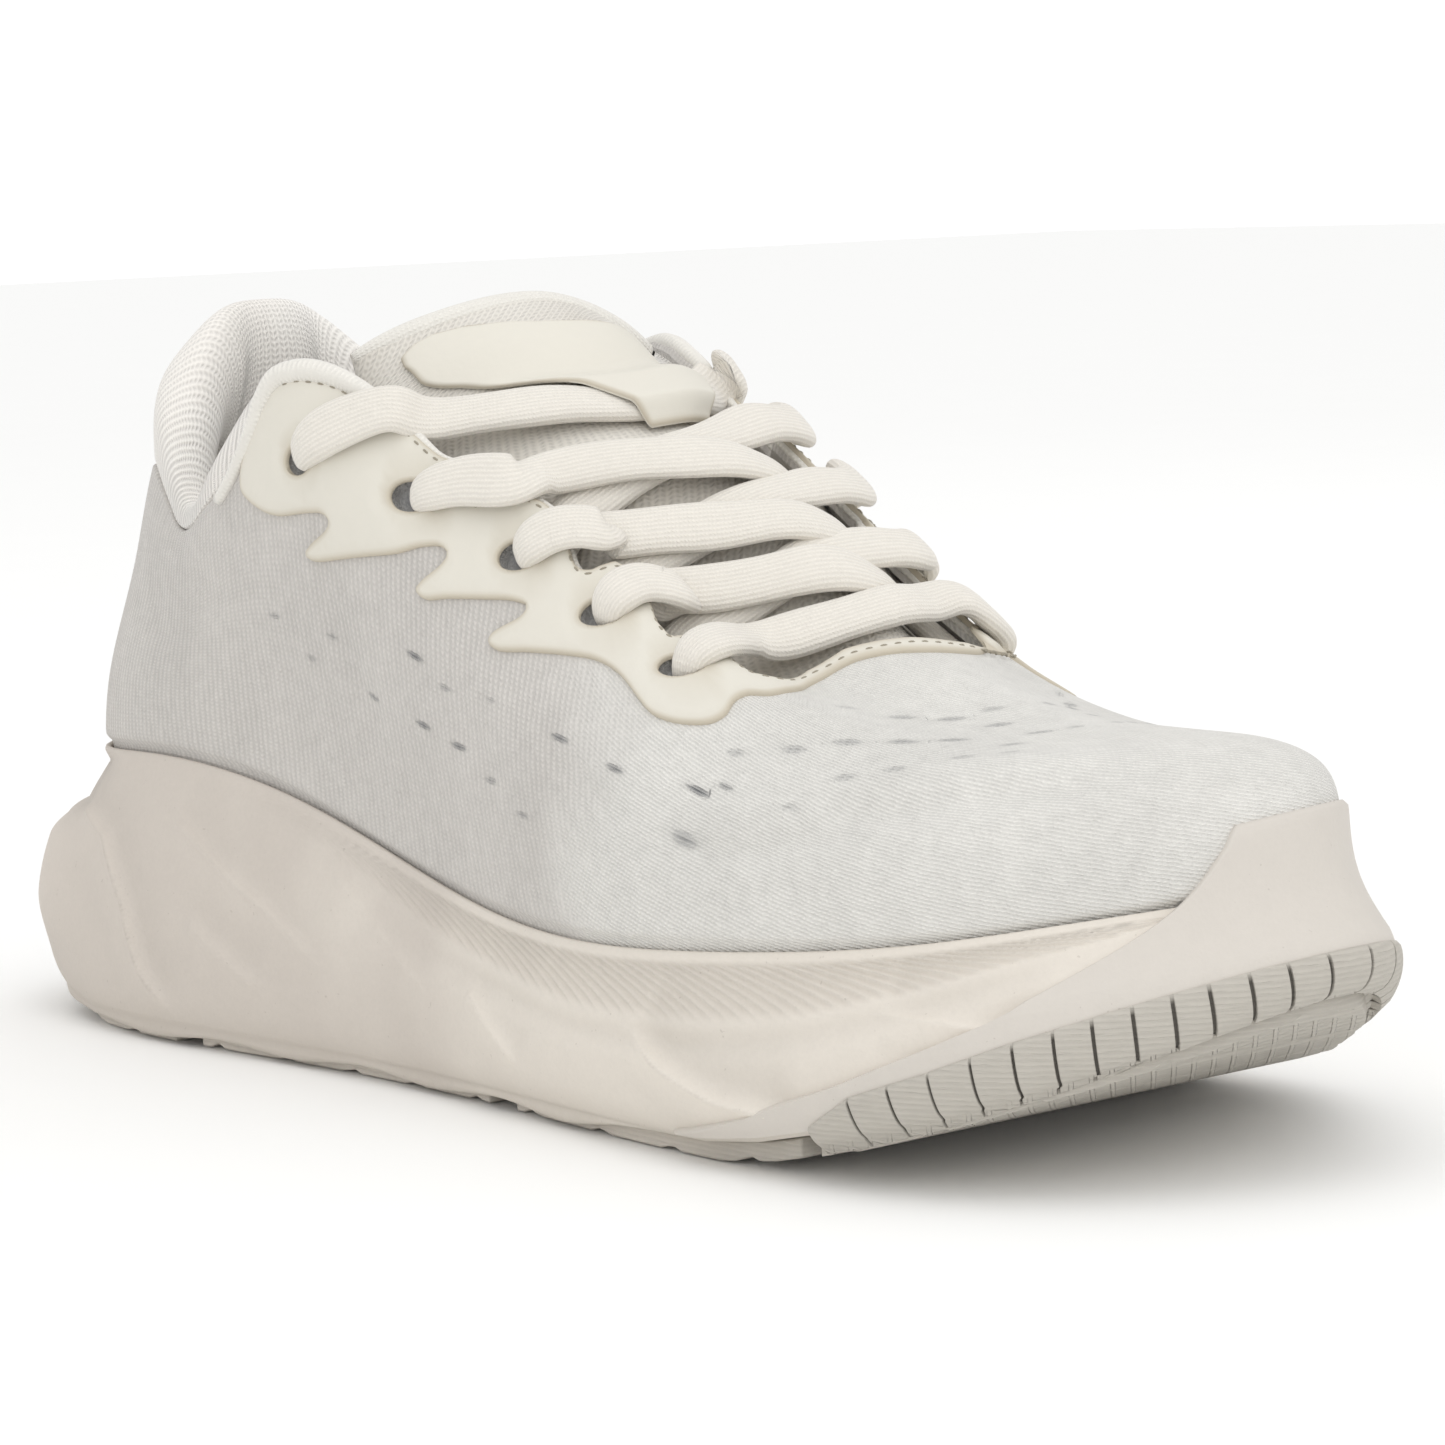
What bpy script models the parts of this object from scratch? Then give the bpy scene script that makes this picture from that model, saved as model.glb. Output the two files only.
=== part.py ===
# A right-foot running shoe, built as the separate pieces a shoemaker lasts,
# cements and laces together.  Metres; +X to the toe, +Y to the medial side,
# +Z up; the ground is z = 0.  Design values are in millimetres, measured from a
# datum near the back of the heel; DATUM_X and DATUM_Y move them so that the
# origin is the bottom centre of the whole shoe.
#
# A place on the shoe is given by its station, counted round a loop from the heel
# (0) along the lateral side to the toe tip (11) and back along the medial side,
# and by its height, a share of the face it lies on.
import bpy
import bmesh
import math
import numpy as np

for old in list(bpy.data.objects):
    bpy.data.objects.remove(old)

# ------------------------------------------------------------------ dimensions
DATUM_X = 135.62      # datum to origin along the shoe
DATUM_Y = 1.282       # datum to origin across the shoe
STATIONS = 22         # stations round every loop
LOOP_STEPS = 66       # mesh steps round a loop
TOE = STATIONS / 2    # station of the toe tip
LATERAL, MEDIAL = 0, 1    # index of each side in the paired tables

LAYER_GAP = 0.3       # clearance between touching layers
SHELL = 2.2           # knit upper
OVERLAY = 0.9         # moulded overlays
OVERLAY_IN = 0.55     # inner face of the lace-row overlay, out from the knit
RUBBER = 3.0          # outsole rubber
RUBBER_INSET = 0.6    # rubber, in from the tread edge
LIP_INSET = 1.15      # midsole rim thickness at its top edge
LIP_DEPTH = 2.2       # upright inner face of that rim
FLOOR_INSET = 5.6     # foot of the midsole's cup, in from the top line
KNIT_INSET = FLOOR_INSET + 0.45    # foot of the knit, in from the top line
BOARD = 1.5           # strobel board
BOARD_INSET = 9.0
SOCK = 4.0            # sockliner
SOCK_INSET = 12.6
SOCK_LOW = LAYER_GAP * 2 + BOARD   # underside of the sockliner above the footbed
EYELET_R = 3.5        # punched lace holes
LACE_W = 3.7          # half width of the flat lace
LACE_T = 1.15         # half thickness of the lace
TONGUE_DROP = 7.0     # tongue face below the flaps' outer face
TONGUE_T = 4.2        # tongue padding
FOLD_GAP = 1.7        # half the clearance across the tongue's fold line

# --------------------------------------------------------------- design tables
# Loops of (x, y, z), one point per station: the midsole's top line, then four
# loops up the upper to its rim.
MIDSOLE_TOP = [
    (3, 0, 46), (9, -19, 46), (25, -29.5, 46.5), (50, -33.5, 47), (80, -34, 43.5),
    (110, -35.5, 36.5), (140, -39.5, 30.5), (172, -45, 29), (205, -47, 31), (236, -41.5, 34),
    (260, -26, 38), (272, 4, 40.5), (252, 31, 38.5), (235, 43, 35), (208, 48, 31.5),
    (176, 46, 29.5), (146, 39.5, 31), (115, 34, 36), (84, 32.5, 42), (52, 32.5, 46),
    (26, 29, 46.5), (9, 18.5, 46)]
LOOP_A = [
    (9, 0, 61), (12, -18.5, 60), (27, -29.5, 60), (51, -34.5, 60), (80, -35, 58),
    (110, -36.5, 50), (139, -41, 45), (170, -46.5, 43), (203, -47.5, 44), (233, -41.5, 45),
    (257, -26, 48), (272, 4, 51), (253, 30, 48.5), (233, 42, 45), (204, 46.5, 43.5),
    (174, 47, 43.5), (145, 41, 46), (115, 35, 52), (84, 33.5, 57), (53, 33, 60),
    (27, 29, 60), (12, 18, 60)]
LOOP_B = [
    (16.5, 0, 79), (19.5, -17, 79), (33, -28.5, 76), (54, -34.5, 71), (80, -37, 76),
    (109, -39, 72), (136, -41, 64), (165, -43.5, 59), (195, -42, 56.5), (223, -35, 55.5),
    (246, -21.5, 58), (259, 5, 59.5), (246, 25, 57), (224, 37, 53.5), (197, 42, 54),
    (169, 43, 59), (141, 41, 66), (113, 37.5, 72), (84, 36, 75), (55, 34, 71),
    (33, 28.5, 76), (19.5, 17, 79)]
LOOP_C = [
    (24.5, 0, 99), (26, -15.5, 98), (38.5, -28, 92), (56.5, -35, 82), (81, -38.5, 96),
    (107, -38, 95), (131, -35, 84), (157, -33, 76), (182, -31, 69), (204, -25, 64),
    (218, -14, 61.5), (225, 4, 61.5), (216, 18, 60), (205, 27, 60.5), (184, 31.5, 65.5),
    (161, 34.5, 76.5), (135, 36, 87), (110, 38, 94), (85, 38, 95), (58, 34.5, 82),
    (38.5, 28, 92), (26, 15.5, 98)]
RIM = [
    (29.5, 0, 121), (32, -13, 118.5), (44, -24.5, 104), (58, -32.5, 91), (82, -37, 111),
    (104, -32, 110.5), (127, -28, 99.5), (148, -25, 90), (166, -19.5, 76), (180, -16, 67.5),
    (188, -8, 70), (192, 4, 71), (192, 15, 69.5), (186, 20, 71.5), (171, 22, 80.5),
    (152, 24, 92), (130, 27, 104), (108, 33, 112), (86, 36, 112), (60, 32, 92),
    (44, 24.5, 104), (32, 13, 118.5)]
FEATHER_DROP = 2.0    # foot of the upper below the midsole's top line
# Plan (x, y) of the tread edge, and how far the sole's side swells out between it
# and the top line, one per station.
TREAD = [
    (-7, 0), (0, -22), (14, -34), (42, -40), (76, -39.5), (108, -39), (140, -41), (175, -45),
    (208, -46.5), (240, -43), (264, -28), (279, 5), (259, 28), (238, 44), (210, 50),
    (178, 47.5), (146, 41.5), (112, 37.5), (78, 38.5), (44, 40), (15, 34.5), (0, 22)]
SWELL = [8.5, 7, 5, 4, 3.5, 3.5, 3.5, 3.5, 3.5, 3, 3, 4, 3, 3, 3.5, 3.5, 3.5, 3.5, 3.5, 4, 5.5, 8]
# Rocker of the underside: curved up at the heel, flat to the ball, then toe spring.
ROCKER_X = [-12, -6, 8, 28, 60, 200, 212, 230, 245, 254, 262, 270, 278, 284]
ROCKER_Z = [10, 7, 2.5, 0, 0, 0, 1.4, 5.2, 9.6, 12.8, 15.8, 19.3, 24, 28]
# Height of the footbed along the shoe: a drop from heel to ball, then up to the toe.
BED_X = [-10, 30, 60, 90, 120, 150, 180, 205, 225, 245, 265, 290]
BED_Z = [33, 32, 31, 28.5, 25, 21.5, 19.5, 19.5, 21, 24, 28, 33]
# The seam where the padded collar starts: stations from the heel, height up the
# upper, and thickness of the collar there.
SEAM_STATION = [0, 1, 2, 3, 4, 5.6]
SEAM_HEIGHT = [0.69, 0.70, 0.78, 0.89, 0.90, 0.93]
COLLAR_THICK = [11, 11.5, 9, 6.5, 5.5, 5.0]
# Mesh rows up the side of the sole, and up the upper between its start and top.
SIDE_ROWS = (0.0, 0.05, 0.18, 0.34, 0.52, 0.72, 0.88, 1.0)
KNIT_START = 0.15
KNIT_ROWS = (0, 0.16, 0.34, 0.52, 0.7, 0.86, 1.0)
# Ends of the toe bumper's rows: height, lateral station, medial station; first
# on the side of the sole, then on the upper.
BUMPER_SIDE = [(0.05, 7.60, 14.2), (0.25, 8.60, 13.4), (0.5, 9.60, 12.6),
               (0.8, 10.10, 12.2), (1.0, 10.40, 11.85)]
BUMPER_UPPER = [(0.12, 10.50, 11.75), (0.24, 10.62, 11.65)]
# Eyelets (station, height), lateral then medial, from the ankle to the toe.
EYELETS = (
    [(4.62, 0.77), (5.66, 0.83), (6.58, 0.837), (7.30, 0.80), (7.97, 0.757)],
    [(17.35, 0.77), (16.4, 0.82), (15.55, 0.83), (14.8, 0.80), (14.05, 0.757)])
# Stations where each lace row crosses the flap's edge, lateral then medial, and
# the crown of the tongue there.
EDGES = ([5.42, 6.35, 7.1, 7.75, 8.6], [16.5, 15.75, 15.0, 14.2, 13.3])
CROWN = [(126, 2, 108.5), (140, 2, 101.5), (153.5, 2.5, 94), (167, 3, 85.5), (179.5, 4, 75.5)]
# Lower contour of the lace-row overlay: station and height, round the throat.
LAPPETS = [
    (4.05, 0.80), (4.3, 0.66), (4.85, 0.66), (5.0, 0.63), (5.35, 0.67), (5.75, 0.70),
    (6.0, 0.66), (6.35, 0.69), (6.7, 0.66), (7.0, 0.667), (7.35, 0.67), (7.75, 0.615),
    (8.1, 0.615), (8.4, 0.73), (8.75, 0.77), (9.5, 0.885), (10.2, 0.93), (11.0, 0.935),
    (11.8, 0.93), (12.5, 0.90), (13.1, 0.77), (13.5, 0.70), (13.9, 0.66), (14.6, 0.67),
    (15.3, 0.66), (16.0, 0.68), (16.6, 0.66), (17.2, 0.64), (17.8, 0.70), (17.95, 0.80)]
# Top edge of the tongue: lateral end, crown, medial end.
TONGUE_TOP = np.array([(93, -26, 116.0), (104.5, 2, 123.4), (107, 28.5, 114.0)])

# ------------------------------------------------------------------- materials
CREAM, GREY, PINK = (0.84, 0.81, 0.74), (0.66, 0.66, 0.66), (0.77, 0.73, 0.69)
POD_RUBBER, WEB_RUBBER = ((0.62, 0.60, 0.56), 0.7), ((0.60, 0.59, 0.56), 0.7)
MOULDED, LINING, TOOL = ((0.70, 0.69, 0.66), 0.6), ((0.80, 0.80, 0.79), 0.95), (GREY, 0.5)
AGLET = ((0.85, 0.84, 0.80), 0.25)
# Piece: base colour, roughness.
FINISHES = {
    "midsole": (PINK, 0.75), "toe_bumper": (PINK, 0.6),
    "outsole_heel_lateral": POD_RUBBER, "outsole_midfoot_lateral": POD_RUBBER,
    "outsole_heel_medial": POD_RUBBER, "outsole_midfoot_medial": POD_RUBBER,
    "outsole_forefoot": WEB_RUBBER, "outsole_toe": WEB_RUBBER,
    "strobel_board": ((0.75, 0.74, 0.70), 0.9), "sockliner": ((0.82, 0.81, 0.78), 0.9),
    "upper_knit": ((0.74, 0.74, 0.74), 0.95), "lining": LINING,
    "toe_puff": MOULDED, "heel_counter": MOULDED,
    "collar_roll": ((0.80, 0.78, 0.73), 0.95), "eyestay_overlay": (CREAM, 0.45),
    "tongue_body": ((0.78, 0.77, 0.75), 0.95), "tongue_tip": ((0.80, 0.79, 0.76), 0.9),
    "tongue_lining": LINING, "tongue_overlay": (CREAM, 0.45), "lace_keeper": (CREAM, 0.45),
    "lace": ((0.86, 0.83, 0.77), 0.9), "aglet_upper": AGLET, "aglet_lower": AGLET,
    "sipe_tool": TOOL, "hole_tool": TOOL, "fold_tool": TOOL}


def material(name):
    """The piece's own material, from its finish."""
    colour, roughness = FINISHES[name]
    mat = bpy.data.materials.new(name)
    mat.use_nodes = True
    shader = mat.node_tree.nodes["Principled BSDF"]
    shader.inputs["Base Color"].default_value = (*colour, 1)
    shader.inputs["Roughness"].default_value = roughness
    return mat


# --------------------------------------------------------------------- splines
def unit(vectors):
    return vectors / np.linalg.norm(vectors, axis=-1, keepdims=True)


def hermite(start, end, start_slope, end_slope, s):
    return ((1 + 2 * s) * (1 - s) ** 2 * start + s * (1 - s) ** 2 * start_slope
            + s * s * (3 - 2 * s) * end - s * s * (1 - s) * end_slope)


def closed_spline(table):
    """Closed cubic spline through a table, one knot per station."""
    knots = np.array(table, float)
    knots = knots.reshape(len(knots), -1)
    count = len(knots)
    eye = np.eye(count)
    matrix = 4 * eye + np.roll(eye, 1, 0) + np.roll(eye, -1, 0)
    slopes = np.linalg.solve(matrix, 3 * (np.roll(knots, -1, 0) - np.roll(knots, 1, 0)))

    def at(station):
        station = np.asarray(station, float) % count
        i = np.floor(station).astype(int) % count
        j = (i + 1) % count
        s = (station - np.floor(station))[..., None]
        return hermite(knots[i], knots[j], slopes[i], slopes[j], s)
    return at


def natural_spline(rows, place):
    """Natural cubic through rows (n, ..., 3) at place in 0..n-1, shaped like one row."""
    knots = np.array(rows, float)
    last = len(knots) - 1
    matrix = np.zeros((last + 1, last + 1))
    matrix[0, 0] = matrix[last, last] = 1
    for i in range(1, last):
        matrix[i, i - 1] = matrix[i, i + 1] = 1
        matrix[i, i] = 4
    bends = np.zeros_like(knots)
    bends[1:last] = 6 * (knots[2:] - 2 * knots[1:-1] + knots[:-2])
    bends = np.linalg.solve(matrix, bends.reshape(last + 1, -1)).reshape(knots.shape)
    place = np.asarray(place, float)
    i = np.clip(np.floor(place).astype(int), 0, last - 1)
    s = (place - i)[..., None]
    here = tuple(np.indices(place.shape))
    low, high = (i,) + here, (i + 1,) + here
    return ((1 - s) * knots[low] + s * knots[high]
            + (((1 - s) ** 3 - (1 - s)) * bends[low] + (s ** 3 - s) * bends[high]) / 6)


# -------------------------------------------------------------------- surfaces
UPPER_LOOPS = [closed_spline([(x, y, z - FEATHER_DROP) for x, y, z in MIDSOLE_TOP])]
UPPER_LOOPS += [closed_spline(table) for table in (LOOP_A, LOOP_B, LOOP_C, RIM)]
TOP_LINE = closed_spline(MIDSOLE_TOP)
TREAD_LINE = closed_spline(TREAD)
SWELL_AT = closed_spline(SWELL)
LOOP_STATIONS = np.arange(LOOP_STEPS) * STATIONS / LOOP_STEPS
NUDGE = 1e-3          # step for numerical slopes


def upper(station, height):
    """Outer face of the upper: height 0 at the feather line, 1 at the rim."""
    station, height = np.broadcast_arrays(np.asarray(station, float), np.asarray(height, float))
    rows = [curve(station) for curve in UPPER_LOOPS]
    return natural_spline(rows, height * (len(UPPER_LOOPS) - 1))


def upper_normal(station, height):
    """Outward normal of the upper."""
    round_way = upper(station + NUDGE, height) - upper(station - NUDGE, height)
    return unit(np.cross(round_way, upper(station, height + NUDGE)
                         - upper(station, height - NUDGE)))


def shell(station, height, out):
    """The upper offset outwards."""
    station, height, out = np.broadcast_arrays(
        np.asarray(station, float), np.asarray(height, float), np.asarray(out, float))
    return upper(station, height) + upper_normal(station, height) * out[..., None]


def plan_frame(curve, station, step=NUDGE):
    """Directions along a loop and outwards from it, in plan."""
    along = unit((curve(station + step) - curve(station - step))[..., :2])
    return along, np.stack([along[..., 1], -along[..., 0]], -1)


def inset(curve, station, distance):
    """A loop moved inwards in plan."""
    points = curve(station)
    points[..., :2] -= plan_frame(curve, station)[1] * distance
    return points


def with_z(plan, z):
    return np.concatenate([plan, z[..., None]], -1)


def ground(x):
    return np.interp(x, ROCKER_X, ROCKER_Z)


def midsole_low(x):
    return ground(x) + RUBBER + LAYER_GAP


def bed(x):
    return np.interp(x, BED_X, BED_Z)


def bed_loop(distance, above):
    """The top line moved inwards and dropped to a height above the footbed."""
    loop = inset(TOP_LINE, LOOP_STATIONS, distance)
    loop[:, 2] = bed(loop[:, 0]) + above
    return loop


def side(station, height):
    """Side of the sole: height 0 at the tread edge, 1 at the midsole's top line."""
    station, height = np.broadcast_arrays(np.asarray(station, float), np.asarray(height, float))
    low = TREAD_LINE(station)
    low = with_z(low, midsole_low(low[..., 0]))
    points = low * (1 - height[..., None]) + TOP_LINE(station) * height[..., None]
    swell = SWELL_AT(station)[..., 0] * 4 * (height ** 0.8) * (1 - height ** 0.8)
    points[..., :2] += plan_frame(TREAD_LINE, station)[1] * swell[..., None]
    return points


# ----------------------------------------------------------------- mesh makers
class Skin:
    """Collects grids of points into one mesh and welds their shared edges."""

    def __init__(self):
        self.points, self.faces = [], []

    def add(self, points):
        """Stores points and returns the index of the first."""
        base = sum(len(part) for part in self.points)
        self.points.append(points)
        return base

    def grid(self, points, wrap=False):
        points = np.asarray(points, float)
        rows, cols = points.shape[:2]
        base = self.add(points.reshape(-1, 3))
        for i in range(rows - 1):
            low, high = base + i * cols, base + (i + 1) * cols
            for j in range(cols if wrap else cols - 1):
                k = (j + 1) % cols
                self.faces.append([low + j, low + k, high + k, high + j])
        return self

    def fan(self, ring):
        """Closes a ring with triangles to its centre."""
        ring = np.asarray(ring, float)
        base = self.add(np.vstack([ring, ring.mean(0)]))
        count = len(ring)
        for j in range(count):
            self.faces.append([base + j, base + (j + 1) % count, base + count])
        return self

    def make(self, name, crease=32.0):
        """The welded object; edges bent more than crease degrees are shaded sharp."""
        points = (np.vstack(self.points) - np.array([DATUM_X, DATUM_Y, 0.0])) / 1000.0
        mesh = bpy.data.meshes.new(name)
        bm = bmesh.new()
        verts = [bm.verts.new(point) for point in points]
        for face in self.faces:
            bm.faces.new([verts[i] for i in face])
        bmesh.ops.remove_doubles(bm, verts=bm.verts, dist=2e-6)
        bmesh.ops.dissolve_degenerate(bm, edges=bm.edges, dist=1e-6)
        bmesh.ops.recalc_face_normals(bm, faces=bm.faces)
        if bm.calc_volume(signed=True) < 0:
            bmesh.ops.reverse_faces(bm, faces=bm.faces)
        for face in bm.faces:
            face.smooth = True
        for edge in bm.edges:
            if len(edge.link_faces) == 2 and edge.calc_face_angle(0.0) > math.radians(crease):
                edge.smooth = False
        bm.to_mesh(mesh)
        bm.free()
        obj = bpy.data.objects.new(name, mesh)
        bpy.context.scene.collection.objects.link(obj)
        mesh.materials.append(material(name))
        return obj


def layer(name, outer, inner, wrap=False, crease=32.0):
    """A closed layer between two faces given as (rows, columns, 3) grids."""
    skin = Skin().grid(outer, wrap).grid(inner, wrap)
    for i in (0, -1):
        skin.grid(np.stack([outer[i], inner[i]]), wrap)
    if not wrap:
        for i in (0, -1):
            skin.grid(np.stack([outer[:, i], inner[:, i]]))
    return skin.make(name, crease)


def tube(name, rings, crease=32.0):
    """A closed solid through rings of points."""
    rings = np.array(rings)
    return Skin().grid(rings, True).fan(rings[0]).fan(rings[-1]).make(name, crease)


def circle(centre, first_axis, second_axis, radius, count):
    angles = np.linspace(0, 2 * math.pi, count, endpoint=False)
    return [centre + (first_axis * math.cos(a) + second_axis * math.sin(a)) * radius
            for a in angles]


def across(loop, columns, height):
    """Rows of points from the lateral to the medial half of a closed loop, at height(x)."""
    share = np.linspace(0, 1, columns)[:, None]
    rows = []
    for i in range(len(loop) // 2 + 1):
        row = loop[i] * (1 - share) + loop[-i % len(loop)] * share
        row[1:-1, 2] = height(row[1:-1, 0])
        rows.append(row)
    return np.array(rows)


def cut(target, name, rings):
    """Takes a tube out of the target for good, then drops the tube."""
    tool = tube(name, rings)
    tool.hide_render, tool.display_type = True, "WIRE"
    mod = target.modifiers.new("cut", "BOOLEAN")
    mod.operation, mod.solver, mod.object = "DIFFERENCE", "EXACT", tool
    graph = bpy.context.evaluated_depsgraph_get()
    mesh = bpy.data.meshes.new_from_object(target.evaluated_get(graph))
    target.modifiers.clear()
    target.data = mesh
    bpy.data.objects.remove(tool)


# --------------------------------------------------------------------- midsole
def midsole():
    """A solid sole with a cup in its top."""
    sides = [side(LOOP_STATIONS, height) for height in SIDE_ROWS]
    top = inset(TOP_LINE, LOOP_STATIONS, LIP_INSET)
    foot = bed_loop(FLOOR_INSET, 0)
    skin = Skin().grid(np.stack(sides + [top, top - [0, 0, LIP_DEPTH], foot]), True)
    skin.grid(across(foot, 7, bed))
    skin.grid(across(sides[0], 7, midsole_low))
    skin.make("midsole")


# --------------------------------------------------------------------- outsole
# Pads along the tread edge: place, first and last lateral station, reach as a
# share of the way to the other edge, mesh steps.
PODS = [("heel", 0.55, 3.30, 0.34, 12), ("midfoot", 3.52, 5.95, 0.26, 10)]
SIPE_COUNT, SIPE_FIRST, SIPE_PITCH = 7, 8.75, 0.30    # count; stations
SIPE_W, SIPE_DEEP = 0.9, 4.0
SIPE_PAST, SIPE_ABOVE = 3, 4.0    # overshoot of the cutter outwards, and up and down


def tread_rubber(name, first, last, steps, reach, columns):
    """Rubber from the tread edge between two stations, reaching across the tread."""
    station = np.linspace(first, last, steps)
    near = inset(TREAD_LINE, station, RUBBER_INSET)
    far = inset(TREAD_LINE, STATIONS - station, RUBBER_INSET)
    share = np.linspace(0, reach, columns)[:, None, None]
    plan = near[None] * (1 - share) + far[None] * share
    low = ground(plan[..., 0])
    return layer(name, with_z(plan, low + RUBBER), with_z(plan, low), crease=25)


def sipe(toe, station):
    """A thin cut into the edge of the toe rubber."""
    edge = TREAD_LINE(station)
    along, out = plan_frame(TREAD_LINE, station, step=0.01)
    half = along * SIPE_W / 2
    outer, inner = edge + out * SIPE_PAST, edge - out * SIPE_DEEP
    plan = np.array([outer - half, outer + half, inner + half, inner - half])
    z = ground(edge[0])
    cut(toe, "sipe_tool", [with_z(plan, np.full(4, z + rise))
                           for rise in (-SIPE_ABOVE, RUBBER + SIPE_ABOVE)])


def outsole():
    for place, first, last, reach, steps in PODS:
        tread_rubber(f"outsole_{place}_lateral", first, last, steps, reach, 3)
        tread_rubber(f"outsole_{place}_medial", STATIONS - first, STATIONS - last,
                     steps, reach, 3)
    tread_rubber("outsole_forefoot", 6.18, 8.30, steps=10, reach=1, columns=9)
    toe = tread_rubber("outsole_toe", 8.45, 10.985, steps=15, reach=1, columns=9)
    for k in range(SIPE_COUNT):
        station = SIPE_FIRST + SIPE_PITCH * k
        sipe(toe, station)
        sipe(toe, STATIONS - station)


# ------------------------------------------------------------------ toe bumper
# It starts low on the lateral side, rises round the toe and wraps over the
# feather line on to the vamp.
BUMPER_OUT, BUMPER_IN = 2.3, 1.2    # its faces, out from the sole and upper


def bumper_face(out):
    share = np.linspace(0, 1, 21)
    heights, lateral, medial = np.array(BUMPER_SIDE).T
    rows = []
    for height in SIDE_ROWS[1:]:
        start, end = np.interp(height, heights, lateral), np.interp(height, heights, medial)
        station = start + (end - start) * share
        round_way = side(station + NUDGE, height) - side(station - NUDGE, height)
        up = side(station, min(height + NUDGE, 1)) - side(station, height - NUDGE)
        rows.append(side(station, height) + unit(np.cross(round_way, up)) * out)
    for height, start, end in BUMPER_UPPER:
        rows.append(shell(start + (end - start) * share, height, out))
    return np.array(rows)


def toe_bumper():
    layer("toe_bumper", bumper_face(BUMPER_OUT), bumper_face(BUMPER_IN))


# -------------------------------------------------------- board and sockliner
def bed_plate(name, distance, low, thickness):
    """A plate that follows the footbed, inside the top line."""
    high = low + thickness
    top, bottom = bed_loop(distance, high), bed_loop(distance, low)
    skin = Skin().grid(across(top, 5, lambda x: bed(x) + high))
    skin.grid(across(bottom, 5, lambda x: bed(x) + low))
    skin.grid(np.stack([top, bottom]), True).make(name)


# ------------------------------------------------------------ upper and lining
def from_heel(station):
    """Stations from the heel, the same on both sides."""
    station = np.asarray(station, float) % STATIONS
    return np.minimum(station, STATIONS - station)


def knit_top(station):
    """Top of the knit: under the collar seam at the ankle, the flap's edge beyond it."""
    away = from_heel(station)
    return np.where(away < 5.45, np.interp(away, SEAM_STATION, SEAM_HEIGHT) - 0.026, 1.0)


def upper_rows(station, start, top, shares, out):
    """Rows of the upper, offset, at shares of the way from start to top."""
    return [shell(station, start + (top - start) * share, out) for share in shares]


def foot_and_wall(name, faces, foot_low, pinch, start, top, shares):
    """A closed-round layer with a foot turned in on the footbed.

    faces: offset and foot inset, outer then inner; pinch: height and pull inwards
    of the rows between the foot and the wall.
    """
    grids = []
    for out, distance in faces:
        grid = [bed_loop(distance, foot_low)]
        grid += [shell(LOOP_STATIONS, height, out - pull) for height, pull in pinch]
        grids.append(np.array(grid + upper_rows(LOOP_STATIONS, start, top, shares, out)))
    return layer(name, *grids, wrap=True)


def upper_knit():
    return foot_and_wall(
        "upper_knit", faces=((0.0, KNIT_INSET), (-SHELL, KNIT_INSET + 2.4)),
        foot_low=LAYER_GAP, pinch=((0.0, 1.6), (0.05, 1.6)),
        start=KNIT_START, top=knit_top(LOOP_STATIONS), shares=KNIT_ROWS)


def lining():
    """Full height round the ankle, lower along the rest of the upper."""
    top = np.where(from_heel(LOOP_STATIONS) < 3.9, knit_top(LOOP_STATIONS), 0.645)
    foot_and_wall("lining", faces=((-4.0, 9.3), (-5.0, 10.9)),
                  foot_low=SOCK_LOW, pinch=((0.02, 1.6), (0.07, 1.2)),
                  start=0.17, top=top, shares=(0, 0.25, 0.5, 0.75, 1.0))


def stiffener(name, first, last, shares):
    """A moulded layer between knit and lining, on the knit's mesh stations first to last."""
    station = np.arange(first, last + 1) * STATIONS / LOOP_STEPS
    layer(name, *(np.array(upper_rows(station, KNIT_START, knit_top(station), shares, out))
                  for out in (-2.6, -3.35)))


def collar_roll():
    """The padded collar: a closed section swept round the ankle from flap to flap."""
    station = np.linspace(-5.3, 5.3, 53)
    away = np.abs(station)
    seam = np.interp(away, SEAM_STATION, SEAM_HEIGHT)
    thick = np.interp(away, SEAM_STATION, COLLAR_THICK)
    gap = 1 - seam
    puff = np.clip((gap - 0.08) / 0.2, 0, 1)    # fades the bulge out where the roll is low
    crest = 1.0 + 0.03 * puff
    # Height and offset: up the outer face, over the crest, down the inner face.
    section = [
        (seam, -0.1), (seam + 0.3 * gap, 1.6 * puff), (seam + 0.65 * gap, 1.4 * puff),
        (seam + 0.92 * gap, -0.1 * thick), (crest, -0.36 * thick), (crest, -0.62 * thick),
        (seam + 0.88 * gap, -0.88 * thick), (seam + 0.55 * gap, -thick),
        (seam + 0.25 * gap, -0.93 * thick), (seam, -np.maximum(0.62 * thick, 4.7)),
        (seam, -2.6)]
    rows = np.array([shell(station, height, out) for height, out in section])
    skin = Skin().grid(np.concatenate([rows, rows[:1]]))
    skin.fan(rows[:, 0]).fan(rows[:, -1]).make("collar_roll", crease=60)


# ---------------------------------------------------------------- lace overlay
def eyestay_overlay():
    """The moulded overlay round the throat, with a lappeted lower edge."""
    station = np.arange(25, 108) / 6.0
    low = np.interp(station, *np.array(LAPPETS).T)
    top = np.interp(from_heel(station), SEAM_STATION[:-1] + [5.35, 5.65],
                    SEAM_HEIGHT[:-1] + [0.925, 1.02]) - 0.035
    shares = np.linspace(0, 1, 4)
    return layer("eyestay_overlay", *(np.array(upper_rows(station, low, top, shares, out))
                                      for out in (OVERLAY_IN + OVERLAY, OVERLAY_IN)))


def flap(station, height, out):
    """Point off the flap, and the normal there."""
    return shell(station, height, out), upper_normal(station, height)


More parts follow.
